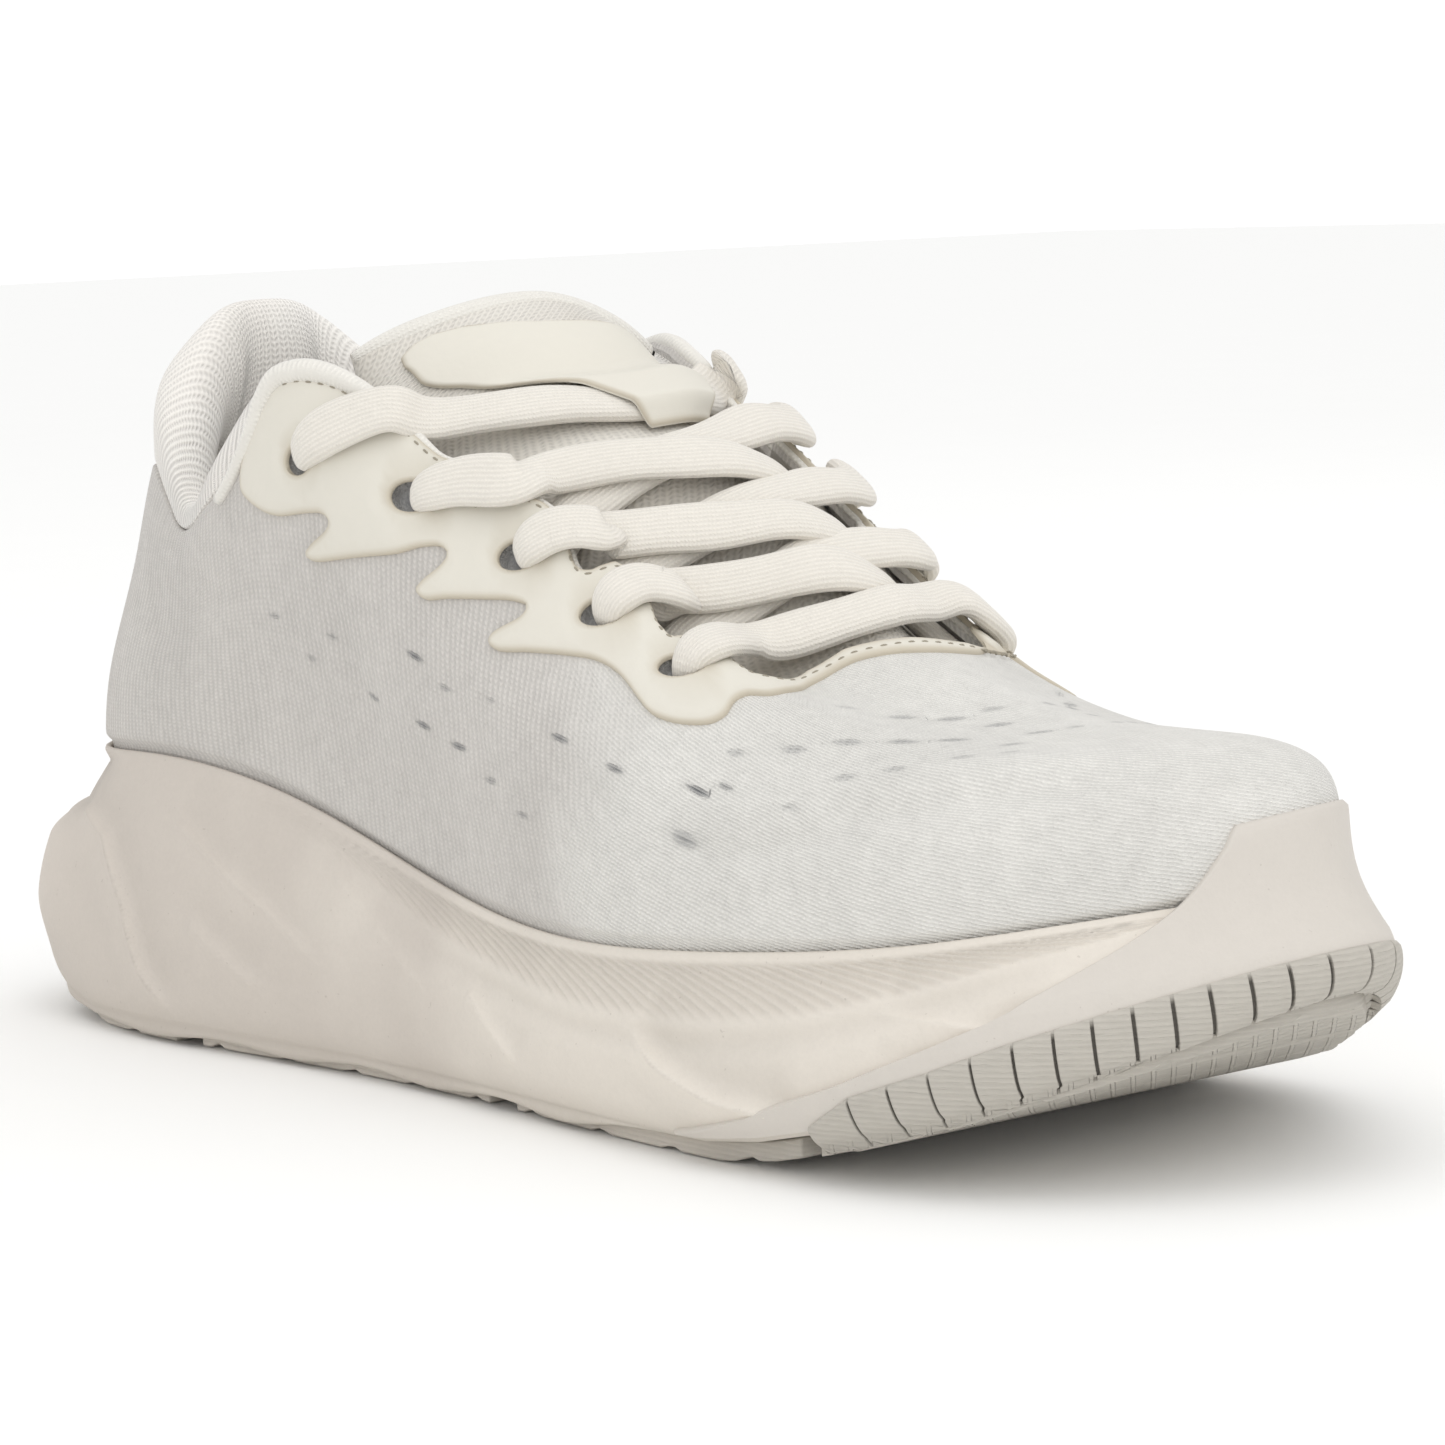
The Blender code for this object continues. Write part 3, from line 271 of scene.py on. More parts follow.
# ---------------------------------------------------------- surfaces of the shoe
FEATHER_DROP = 2.0    # foot of the upper below the midsole's top line
LOOPS = [closed_spline([(x, y, z - FEATHER_DROP) for x, y, z in MID_TOP])]
LOOPS += [closed_spline(table) for table in (LOOP_A, LOOP_B, LOOP_C, RIM)]
TOP_LINE = closed_spline(MID_TOP)
TREAD_LINE = closed_spline(TREAD)
SWELL_AT = closed_spline(SWELL)
NUDGE = 1e-3          # stations or share of rise, for differences along a surface


def arrays(*values):
    return np.broadcast_arrays(*[np.asarray(v, float) for v in values])


def upper(turn, rise):
    """Outer face of the upper: rise 0 at the feather line to 1 at the rim."""
    turn, rise = arrays(turn, rise)
    return open_spline([curve(turn) for curve in LOOPS], rise * 4)


def upper_normal(turn, rise):
    turn, rise = arrays(turn, rise)
    return unit(np.cross(upper(turn + NUDGE, rise) - upper(turn - NUDGE, rise),
                         upper(turn, rise + NUDGE) - upper(turn, rise - NUDGE)))


def shell(turn, rise, out):
    """The upper offset outwards."""
    turn, rise, out = arrays(turn, rise, out)
    return upper(turn, rise) + upper_normal(turn, rise) * out[..., None]


def plan_normal(curve, turn):
    """Outward direction of a loop in plan."""
    turn = np.asarray(turn)
    way = curve(turn + NUDGE) - curve(turn - NUDGE)
    return unit(np.stack([way[..., 1], -way[..., 0]], -1))


def inset(curve, turn, inward):
    """A loop moved inwards in plan."""
    points = curve(turn).copy()
    points[..., :2] -= plan_normal(curve, turn) * np.asarray(inward, float)[..., None]
    return points


def with_z(plan, z):
    return np.concatenate([plan, z[..., None]], -1)


def ground(x):
    return np.interp(x, *ROCKER)


def bed(x):
    return np.interp(x, *BED)


def on_bed(turn, inward, lift=0.0):
    """A loop inside the top line, laid on the footbed."""
    points = inset(TOP_LINE, turn, inward)
    points[:, 2] = bed(points[:, 0]) + lift
    return points


def tread_ring(turn, inward, z):
    return with_z(inset(TREAD_LINE, turn, inward), z)


def side(turn, rise):
    """Side of the sole: rise 0 at the tread edge, 1 at the midsole's top line."""
    turn, rise = arrays(turn, rise)
    low = TREAD_LINE(turn)
    low = with_z(low, ground(low[..., 0]) + RUBBER + LAYER_GAP)
    points = low * (1 - rise[..., None]) + TOP_LINE(turn) * rise[..., None]
    swell = SWELL_AT(turn)[..., 0] * 4 * (rise ** 0.8) * (1 - rise ** 0.8)
    points[..., :2] += plan_normal(TREAD_LINE, turn) * swell[..., None]
    return points


def side_normal(turn, rise):
    above, below = np.minimum(rise + NUDGE, 1.0), np.maximum(rise - NUDGE, 1e-4)
    return unit(np.cross(side(turn + NUDGE, rise) - side(turn - NUDGE, rise),
                         side(turn, above) - side(turn, below)))


def heel_count(turn):
    """Stations from the heel, whichever side the place is on."""
    turn = np.asarray(turn, float) % STATIONS
    return np.minimum(turn, STATIONS - turn)


# ------------------------------------------------------------- tongue surface
def edge_frame(turn):
    """Point of the flap's edge, its outward normal, and the direction across the throat."""
    point = upper(turn, 1.0)
    along = unit(upper(turn + 0.01, 1.0) - upper(turn - 0.01, 1.0))
    across = point - upper(turn, 0.96)
    return point, upper_normal(turn, 1.0), unit(across - along * np.dot(across, along))


def bridge(k, drop):
    """Lace row k of the tongue: under the lateral flap, over the instep, under the medial."""
    frames = [edge_frame(EDGES[s][k]) for s in "LM"]
    rims = [point - normal * drop for point, normal, _ in frames]
    run = (rims[1] - rims[0]) / 2
    up = unit(np.cross(run, [0.6, 0, -0.5]))
    up = up if up[2] > 0 else -up
    crown = np.array(CROWN[k], float) - up * (drop - TONGUE_DROP)
    halves = []
    for s, rim, (_, _, across), inward in zip("LM", rims, frames, (1, -1)):
        turn, edge = ROWS[s][k][0], EDGES[s][k]
        lean = across * np.linalg.norm(crown - rim) * 0.8 - run * inward
        halves.append([shell(turn, 0.74, -drop), shell(0.5 * (turn + edge), 0.87, -drop),
                       rim, 0.5 * (rim + crown) + lean / 8])
    return np.array(halves[0] + [crown] + halves[1][::-1])


def tongue_rows(drop):
    """Tongue surface from its top edge (row 0) to its toe end (7); rows 2..6 carry lace."""
    rows = [bridge(k, drop) for k in range(5)]
    places = np.linspace(-1, 1, 9)
    rows.append(np.array([shell(TOE + 2.3 * q, 0.82 - 0.04 * q * q, -drop - 2.0)
                          for q in places]))
    lateral_end, crown, medial_end = TONGUE_TOP
    top = []
    for q in places:
        w = abs(q)
        reach = (lateral_end if q < 0 else medial_end) - crown
        point = crown + reach * np.array([w ** 1.8, w, w ** 1.9])
        top.append(point - unit(np.array([0.62, 0.75 * q, 0.55])) * (drop - TONGUE_DROP))
    top = np.array(top)
    second = 0.5 * (top + rows[0]) + np.outer(1 - places * places, [1.0, 0, 1.2])
    second[:, 1] *= 1 - 0.06 * np.abs(places)
    return np.array([top, second] + rows)


def tongue_at(rows, down, across):
    """Tongue surface at rows `down` and places `across` (-1 lateral, 1 medial)."""
    down, across = np.asarray(down, float), np.asarray(across, float)
    count, width = rows.shape[:2]
    stack = np.broadcast_to(rows[:, None], (count, len(down), width, 3))
    lines = open_spline(stack, np.broadcast_to(down[:, None], (len(down), width)))
    size = (len(down), len(across))
    stack = np.broadcast_to(lines.transpose(1, 0, 2)[:, :, None], (width,) + size + (3,))
    return open_spline(stack, np.broadcast_to((4 + 4 * across)[None], size))


FACE = tongue_rows(TONGUE_DROP)
BACK = tongue_rows(TONGUE_DROP + TONGUE_T)


# ---------------------------------------------------------------- mesh making
def world(points):
    return (np.asarray(points, float) - DATUM) * MM


def cell_corners(grid):
    """The four corners of every cell of a grid, going round the cell."""
    cells = np.stack([grid[:-1, :-1], grid[:-1, 1:], grid[1:, 1:], grid[1:, :-1]], 2)
    return cells.reshape((-1,) + cells.shape[2:])


def pair_up(u, v):
    """Broadcasts two coordinates into one UV grid."""
    return np.stack(np.broadcast_arrays(u, v), -1)


class Skin:
    """Gathers point grids and faces that share edge points, so that a skin stays closed."""

    def __init__(self):
        self.points, self.faces, self.uv, self.marks, self.count = [], [], [], {}, 0

    def add(self, points, **marks):
        """Adds points, with named values on each, and gives back their indices."""
        points = np.asarray(points, float)
        shape = points.shape[:-1]
        count = int(np.prod(shape))
        self.points.append(points.reshape(-1, 3))
        for name, value in marks.items():
            value = np.asarray(value, float).reshape(count, -1)
            self.marks.setdefault(name, []).append((self.count, value))
        self.count += count
        return np.arange(self.count - count, self.count).reshape(shape)

    def add_faces(self, corners, uv):
        self.faces.append(corners)
        self.uv.append(uv)

    def quads(self, index, uv=None, wrap=False):
        """Fills a grid of indices; without UVs it is mapped in plan."""
        if wrap:
            index = np.concatenate([index, index[:, :1]], 1)
        corners = cell_corners(index)
        if uv is None:
            uv = np.vstack(self.points)[corners][..., :2]
        else:
            uv = cell_corners(np.asarray(uv, float))
        self.add_faces(corners, uv)

    def tris(self, corners, uv):
        """Triangles, stored as quads with the first corner repeated at the end."""
        self.add_faces(np.concatenate([corners, corners[:, :1]], 1),
                       np.concatenate([uv, uv[:, :1]], 1))

    def fan(self, ring):
        centre = self.add(np.vstack(self.points)[ring].mean(0)[None])[0]
        corners = np.stack([ring, np.roll(ring, -1), np.full(len(ring), centre)], 1)
        self.tris(corners, np.zeros((len(ring), 3, 2)))

    def fill(self, ring, cols, height):
        """Closes a loop, symmetrical about its first and middle points, with rows across."""
        points = np.vstack(self.points)[ring]
        half = len(ring) // 2
        share = np.linspace(0, 1, cols)[1:-1][None, :, None]
        near, far = points[1:half][:, None], points[-1:half:-1][:, None]
        inner = near * (1 - share) + far * share
        inner[..., 2] = height(inner[..., 0], 2 * share[..., 0] - 1)
        index = self.add(inner)
        rows = np.concatenate([ring[1:half][:, None], index, ring[-1:half:-1][:, None]], 1)
        ends = [np.full((1, cols), ring[k]) for k in (0, half)]
        self.quads(np.vstack([ends[0], rows, ends[1]]))

    def sheet(self, outer, inner, uv, wrap=False, **marks):
        """A closed layer; outer and inner are (rows, columns, 3) with the same columns."""
        top, low = self.add(outer, **marks), self.add(inner)
        self.quads(top, uv, wrap)
        rows = np.linspace(0, len(uv) - 1, low.shape[0]).round().astype(int)
        self.quads(low, uv[rows], wrap)
        for k in (0, -1):
            self.quads(np.stack([top[k], low[k]]), np.stack([uv[k], uv[k] + [0, 1.0]]), wrap)
        if not wrap:
            for k in (0, -1):
                self.quads(np.stack([top[:, k], low[:, k]]),
                           np.stack([uv[:, k], uv[:, k] + [1.0, 0]]))

    def tube(self, path, facing, half_width, half_thick, sides, power, start=0.0, groove=0.0):
        """Sweeps a soft oval along a path; its thin side faces `facing`."""
        count = len(path)
        way = unit(np.vstack([path[1] - path[0], path[2:] - path[:-2], path[-1] - path[-2]]))
        facing = unit(facing - way * (facing * way).sum(-1, keepdims=True))
        sideways = np.cross(way, facing)
        angle = np.linspace(0, 2 * math.pi, sides, endpoint=False) + math.pi / sides
        cos, sin = np.cos(angle), np.sin(angle)
        wide = np.broadcast_to(half_width, count)[:, None] * (np.sign(cos) * np.abs(cos) ** power)
        thick = np.broadcast_to(half_thick, count)[:, None] * (np.sign(sin) * np.abs(sin) ** power)
        thick = thick * (1 - groove * bell(cos, 0.33))
        ring = (path[:, None] + sideways[:, None] * wide[..., None]
                + facing[:, None] * thick[..., None])
        index = self.add(ring)
        middle = ring[count // 2]
        around = run_lengths(np.vstack([middle, middle[:1]]))
        self.quads(index, pair_up((start + run_lengths(path))[:, None], around[None]), True)
        self.fan(index[0])
        self.fan(index[-1])

    def make(self, name, material, crease=None):
        """Builds the object; edges sharper than `crease` degrees are kept sharp."""
        points = world(np.vstack(self.points))
        faces, uv = np.vstack(self.faces), np.vstack(self.uv)
        keep = faces != np.roll(faces, -1, 1)
        whole = keep.sum(1) >= 3
        faces, uv, keep = faces[whole], uv[whole], keep[whole]
        sizes = keep.sum(1)
        mesh = bpy.data.meshes.new(name)
        mesh.vertices.add(len(points))
        mesh.vertices.foreach_set("co", points.ravel())
        mesh.loops.add(int(sizes.sum()))
        mesh.loops.foreach_set("vertex_index", faces[keep].astype(np.int32))
        mesh.polygons.add(len(sizes))
        starts = np.concatenate([[0], np.cumsum(sizes)[:-1]]).astype(np.int32)
        mesh.polygons.foreach_set("loop_start", starts)
        mesh.uv_layers.new(name="UVMap")
        mesh.update(calc_edges=True)
        # One UV unit stands for 100 mm.
        mesh.uv_layers[0].data.foreach_set("uv", (uv[keep] * 0.01).astype(np.float32).ravel())
        for mark, parts in self.marks.items():
            width = parts[0][1].shape[1]
            data = np.zeros((len(points), 3 if width > 1 else 1), np.float32)
            if mark == "slit":
                data[:] = NO_SLIT
            for start, value in parts:
                data[start:start + len(value), :width] = value
            kind, field = ("FLOAT_VECTOR", "vector") if width > 1 else ("FLOAT", "value")
            mesh.attributes.new(mark, kind, "POINT").data.foreach_set(field, data.ravel())
        mesh.materials.append(material)
        work = bmesh.new()
        work.from_mesh(mesh)
        loose = [v for v in work.verts if not v.link_faces]
        bmesh.ops.delete(work, geom=loose, context="VERTS")
        bmesh.ops.recalc_face_normals(work, faces=work.faces)
        if work.calc_volume(signed=True) < 0:
            bmesh.ops.reverse_faces(work, faces=work.faces)
        for face in work.faces:
            face.smooth = True
        if crease:
            for edge in work.edges:
                if len(edge.link_faces) == 2 and edge.calc_face_angle(0.0) > math.radians(crease):
                    edge.smooth = False
        work.to_mesh(mesh)
        work.free()
        obj = bpy.data.objects.new(name, mesh)
        bpy.context.scene.collection.objects.link(obj)
        return obj


def settle(obj, slot, *replaced, rides="root"):
    """Tells the frame what a piece rides on and which CAD nodes it replaces; slot is not used."""
    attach(obj, rides)
    if replaced:
        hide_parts(*replaced)


def read_points(mesh):
    points = np.empty(len(mesh.vertices) * 3)
    mesh.vertices.foreach_get("co", points)
    return points.reshape(-1, 3)


HELD, HALF_HELD = 1.0, 0.35      # pin weights of a padded piece
CLOTH_FRAMES = 20


def inflate(obj, pins, cap):
    """Swells a padded piece with a short cloth run, moving no point further than cap (m)."""
    if not FINE:
        return
    scene = bpy.context.scene
    group = obj.vertex_groups.new(name="held")
    for weight in (HELD, HALF_HELD):
        held = [int(i) for i in np.where(np.isclose(pins, weight))[0]]
        if held:
            group.add(held, weight, "REPLACE")
    cloth = obj.modifiers.new("Cloth", "CLOTH")
    settings = cloth.settings
    settings.quality = 6
    settings.mass = 0.15
    settings.air_damping = 2.0
    settings.tension_stiffness = settings.compression_stiffness = 18
    settings.shear_stiffness = 8
    settings.bending_stiffness = 0.6
    settings.use_pressure = True
    settings.uniform_pressure_force = 4.0
    settings.vertex_group_mass = "held"
    settings.pin_stiffness = 2.0
    settings.effector_weights.gravity = 0.0
    cloth.collision_settings.use_collision = False
    cloth.point_cache.frame_start = 1
    cloth.point_cache.frame_end = CLOTH_FRAMES
    rest = read_points(obj.data)
    for f in range(1, CLOTH_FRAMES + 1):
        scene.frame_set(f)
    moved = read_points(obj.evaluated_get(bpy.context.evaluated_depsgraph_get()).data)
    obj.modifiers.remove(cloth)
    obj.vertex_groups.remove(group)
    scene.frame_set(1)
    shift = moved - rest
    far = np.linalg.norm(shift, axis=1, keepdims=True)
    shift *= np.minimum(1, cap / np.maximum(far, 1e-9))
    if np.isfinite(shift).all():
        obj.data.vertices.foreach_set("co", (rest + shift).ravel())
        obj.data.update()


def bake(obj, kind, **settings):
    """Adds a modifier and keeps its result as the mesh."""
    modifier = obj.modifiers.new(kind.title(), kind)
    for name, value in settings.items():
        setattr(modifier, name, value)
    graph = bpy.context.evaluated_depsgraph_get()
    mesh = bpy.data.meshes.new_from_object(
        obj.evaluated_get(graph), preserve_all_data_layers=True, depsgraph=graph)
    obj.modifiers.clear()
    obj.data = mesh
    for face in mesh.polygons:
        face.use_smooth = True


# ------------------------------------------------------------- material making
def screen(r, g, b):
    """Screen colour 0..255 to linear."""
    return tuple(((c / 255 + 0.055) / 1.055) ** 2.4 if c > 10 else c / 3294.6
                 for c in (r, g, b)) + (1.0,)


class Shader:
    """Shorthand for wiring a procedural material. Lengths and heights are in millimetres."""

    def __init__(self, name, rough=0.8, sheen=0.0, spec=0.4):
        self.material = bpy.data.materials.new(name)
        self.material.use_nodes = True
        self.tree = self.material.node_tree
        self.tree.nodes.clear()
        self.surface = self.node("BsdfPrincipled")
        self.tree.links.new(self.surface.outputs[0], self.node("OutputMaterial").inputs[0])
        for socket, value in (("Roughness", rough), ("Specular IOR Level", spec),
                              ("Sheen Weight", sheen), ("Sheen Roughness", 0.45)):
            self.surface.inputs[socket].default_value = value
        self.coord = self.node("TexCoord")
        self.place = self.vec("SCALE", self.coord.outputs["Object"], scale=1000.0)

    @cached_property
    def uv(self):
        return self.split(self.vec("SCALE", self.coord.outputs["UV"], scale=100.0))

    @cached_property
    def xyz(self):
        return self.split(self.place)

    def node(self, kind):
        return self.tree.nodes.new("ShaderNode" + kind)

    def put(self, socket, value):
        if isinstance(value, bpy.types.NodeSocket):
            self.tree.links.new(value, socket)
        else:
            socket.default_value = value

    def split(self, vector):
        node = self.node("SeparateXYZ")
        self.put(node.inputs[0], vector)
        return node.outputs[:3]

    def vec(self, kind, first, second=None, scale=None):
        node = self.node("VectorMath")
        node.operation = kind
        self.put(node.inputs[0], first)
        if second is not None:
            self.put(node.inputs[1], second)
        if scale is not None:
            self.put(node.inputs["Scale"], scale)
        return node.outputs[0]

    def op(self, kind, first, second=0.0, third=0.0):
        node = self.node("Math")
        node.operation = kind
        for socket, value in zip(node.inputs, (first, second, third)):
            self.put(socket, value)
        return node.outputs[0]

    def add(self, first, *others):
        for other in others:
            first = self.op("ADD", first, other)
        return first

    def mul(self, value, by):
        return self.op("MULTIPLY", value, by)

    def ramp(self, value, times, plus):
        return self.op("MULTIPLY_ADD", value, times, plus)

    def weigh(self, *terms):
        """Sum of terms (pattern, weight) or (pattern, weight, middle to take off first)."""
        return self.add(*[self.mul(self.op("SUBTRACT", pattern, *middle) if middle else pattern,
                                   by=weight) for pattern, weight, *middle in terms])

    def wave(self, length, period):
        """0..1 cosine of a length."""
        turns = self.mul(length, by=2 * math.pi / period)
        return self.ramp(self.op("COSINE", turns), times=0.5, plus=0.5)

    def noise(self, scale, detail=2.0, rough=0.5, stretch=None):
        node = self.node("TexNoise")
        place = self.vec("MULTIPLY", self.place, stretch) if stretch else self.place
        self.put(node.inputs["Vector"], place)
        node.inputs["Scale"].default_value = scale
        node.inputs["Detail"].default_value = detail
        node.inputs["Roughness"].default_value = rough
        return node.outputs[0]

    def cells(self, scale):
        node = self.node("TexVoronoi")
        self.put(node.inputs["Vector"], self.place)
        node.inputs["Scale"].default_value = scale
        return node.outputs["Distance"]

    def ease(self, value, start, end):
        """Smooth step from 0 at start to 1 at end."""
        node = self.node("MapRange")
        node.interpolation_type = "SMOOTHSTEP"
        for socket, setting in zip(node.inputs, (value, start, end)):
            self.put(socket, setting)
        return node.outputs[0]

    def mix(self, share, first, second):
        """Mixes two colours."""
        node = self.node("Mix")
        node.data_type = "RGBA"
        for k, value in ((0, share), (6, first), (7, second)):
            self.put(node.inputs[k], value)
        return node.outputs[2]

    def lerp(self, share, first, second):
        """Mixes two numbers."""
        node = self.node("Mix")
        node.data_type = "FLOAT"
        for k, value in ((0, share), (2, first), (3, second)):
            self.put(node.inputs[k], value)
        return node.outputs[0]

    def mark(self, name, output="Fac"):
        node = self.node("Attribute")
        node.attribute_name = name
        return node.outputs[output]

    def tinted(self, colour, change):
        """Colour times 1 + change, a socket around 0."""
        if not isinstance(colour, bpy.types.NodeSocket):
            colour = colour[:3]
        return self.vec("SCALE", colour, scale=self.op("ADD", change, 1.0))

    def finish(self, colour, height=None, rough=None):
        self.put(self.surface.inputs["Base Color"], colour)
        if rough is not None:
            self.put(self.surface.inputs["Roughness"], rough)
        if height is not None:
            node = self.node("Bump")
            node.inputs["Distance"].default_value = MM
            self.put(node.inputs["Height"], height)
            self.tree.links.new(node.outputs[0], self.surface.inputs["Normal"])
        return self.material


# ------------------------------------------------------------------- materials
def knit_material():
    """Knit: fine columns towards the heel, a diagonal twill over the vamp, dropped stitches, with
    painted shade in the slits and lace holes.
    """
    mat = Shader("knit_upper", rough=0.92, sheen=0.25, spec=0.25)
    x = mat.xyz[0]
    big = mat.noise(scale=0.03)
    mid = mat.noise(scale=0.35, detail=3, rough=0.6)
    fine = mat.noise(scale=2.2, detail=3, rough=0.7)
    wobble = mat.op("SUBTRACT", mid, 0.5)
    u = mat.add(mat.uv[0], mat.mul(wobble, by=0.9))
    v = mat.add(mat.uv[1], mat.mul(wobble, by=0.7))
    column = mat.wave(u, period=1.35)
    row = mat.wave(mat.add(v, mat.mul(column, by=0.42)), period=0.95)
    plain = mat.mul(column, by=mat.ramp(row, times=0.6, plus=0.4))
    across = mat.wave(mat.weigh((u, 0.50), (v, 0.86)), period=0.92)
    along = mat.wave(mat.weigh((u, 0.86), (v, -0.50)), period=0.8)
    twill = mat.mul(across, by=mat.ramp(along, times=0.55, plus=0.45))
    zone = mat.ease(mat.add(x, mat.weigh((big, 40.0, 0.5))), start=22.0, end=48.0)
    cloth = mat.lerp(zone, plain, twill)
    # Slit marks: two places in slit sizes, then strength; the lace holes are marked alike.
    slit_x, slit_y, strength = mat.split(mat.mark("slit", "Vector"))
    away = mat.op("SQRT", mat.add(mat.mul(slit_x, by=slit_x), mat.mul(slit_y, by=slit_y)))
    away = mat.add(away, mat.weigh((fine, 0.7, 0.5)))
    punched = mat.ease(strength, start=1.2, end=1.6)
    power = mat.op("MINIMUM", strength, 1.0)
    dashes = mat.ramp(mat.wave(slit_y, period=0.95), times=0.5, plus=0.5)
    hole = mat.mul(mat.mul(mat.ease(away, start=1.45, end=0.7), by=power),
                   by=mat.lerp(punched, dashes, 1.0))
    halo_shade = mat.mul(mat.ease(away, start=3.4, end=0.9), by=power)
    patch = mat.noise(scale=0.06, detail=2, rough=0.6, stretch=(1.0, 1.0, 0.55))
    tone = mat.weigh((cloth, 0.24, 0.5), (big, 0.10, 0.5), (patch, 0.16, 0.5),
                     (mid, 0.20, 0.5), (fine, 0.20, 0.5))
    # The rear and heel tones are darker than the vamp's partly for the knit's own zones and partly
    # as painted shade, the heel lying away from the light.
    rear, vamp, heel = screen(203, 199, 194), screen(223, 221, 216), screen(198, 193, 187)
    base = mat.mix(zone, rear, vamp)
    base = mat.mix(mat.ease(x, start=-95.0, end=-135.0), base, heel)
    pale = mat.tinted(base, tone)
    # The grey slit tones, the dark punched tone and the darker halo round each opening are painted
    # shade seen in the slits and holes.
    slit_rim, slit_core, punched_tone = (
        screen(168, 168, 168), screen(112, 113, 116), screen(112, 98, 80))
    grey = mat.mix(mat.ease(away, start=1.0, end=0.2), slit_rim, slit_core)
    dark = mat.mix(punched, grey, punched_tone)
    colour = mat.mix(hole, mat.tinted(pale, mat.mul(halo_shade, by=-0.13)), dark)
    return mat.finish(colour, mat.weigh((cloth, 0.16), (fine, 0.12), (mid, 0.16), (hole, -0.5)))


def rib_material(name, tone_a, tone_b, pitch_u, pitch_v, deep, slant=0.0):
    """Spacer mesh: rows of small cells under raised ribs, with painted shade in the cells and a
    faint painted highlight on the ribs.
    """
    mat = Shader(name, rough=0.93, sheen=0.3, spec=0.25)
    big = mat.noise(scale=0.05)
    mid = mat.noise(scale=0.5, rough=0.6)
    fine = mat.noise(scale=3.0, rough=0.6)
    u, v = mat.uv[:2]
    u = mat.add(u, mat.mul(v, by=slant), mat.weigh((mid, 0.25, 0.5)))
    rib = mat.wave(u, pitch_u)
    shift = mat.mul(mat.wave(u, pitch_u * 2), by=pitch_v * 0.5)
    cell = mat.wave(mat.add(v, shift), pitch_v)
    pit = mat.mul(mat.op("SUBTRACT", 1.0, rib), by=mat.op("SUBTRACT", 1.0, cell))
    # Painted shade darkens the pits and a faint painted highlight lifts the ribs.
    tone = mat.weigh((pit, -0.13), (rib, 0.04), (big, 0.10, 0.5), (fine, 0.10, 0.5))
    base = mat.mix(mat.ease(big, start=0.35, end=0.65), screen(*tone_a), screen(*tone_b))
    height = mat.weigh((rib, deep * 0.8), (cell, deep * 0.3), (pit, -deep * 0.7),
                       (fine, 0.05), (mid, 0.05))
    return mat.finish(mat.tinted(base, tone), height)


def plain_cloth_material(name, tone, pitch, deep):
    """Close white cloth with a small crossed weave and some lint."""
    mat = Shader(name, rough=0.95, sheen=0.4, spec=0.2)
    mid = mat.noise(scale=0.5, detail=3, rough=0.6)
    fine = mat.noise(scale=3.2, rough=0.7)
    wobble = mat.weigh((mid, 0.3, 0.5))
    u, v = mat.uv[:2]
    weave = mat.mul(mat.wave(mat.add(u, wobble), pitch),
                    by=mat.wave(mat.add(v, wobble), pitch * 0.9))
    change = mat.weigh((weave, 0.10, 0.4), (mid, 0.08, 0.5), (fine, 0.10, 0.5))
    return mat.finish(mat.tinted(screen(*tone), change),
                      mat.weigh((weave, deep), (fine, 0.08), (mid, 0.08)))


def lace_material():
    """Padded flat knit: ribs along the cord, each a row of small stitches."""
    mat = Shader("lace_cord", rough=0.94, sheen=0.35, spec=0.2)
    mid = mat.noise(scale=0.6, detail=3, rough=0.6)
    fine = mat.noise(scale=3.4, rough=0.7)
    wobble = mat.weigh((mid, 0.35, 0.5))
    u, v = mat.uv[:2]
    rib = mat.wave(mat.add(v, wobble), period=0.78)
    stitch = mat.wave(mat.add(u, mat.mul(rib, by=0.35), wobble), period=0.62)
    cloth = mat.mul(rib, by=mat.ramp(stitch, times=0.5, plus=0.5))
    change = mat.weigh((cloth, 0.14, 0.45), (mid, 0.08, 0.5), (fine, 0.12, 0.5))
    return mat.finish(mat.tinted(screen(231, 226, 217), change),
                      mat.weigh((cloth, 0.11), (fine, 0.10), (mid, 0.10)))


def film_material():
    """Moulded film: close to satin, with a faint grain and painted shade along its edges."""
    mat = Shader("overlay_film", rough=0.5, spec=0.42)
    big, mid = mat.noise(scale=0.04), mat.noise(scale=0.6)
    fine = mat.noise(scale=5.0, rough=0.6)
    # The edge mark darkens the film's rims, walls and underside: painted shade.
    edge = mat.mark("edge")
    change = mat.weigh((big, 0.05, 0.5), (mid, 0.025, 0.5), (fine, 0.02, 0.5), (edge, -0.05))
    rough = mat.add(0.44, mat.mul(mid, by=0.10), mat.mul(fine, by=0.05))
    base = mat.mix(edge, screen(222, 218, 207), screen(202, 193, 175))
    return mat.finish(mat.tinted(base, change), mat.weigh((fine, 0.012), (mid, 0.05)), rough)


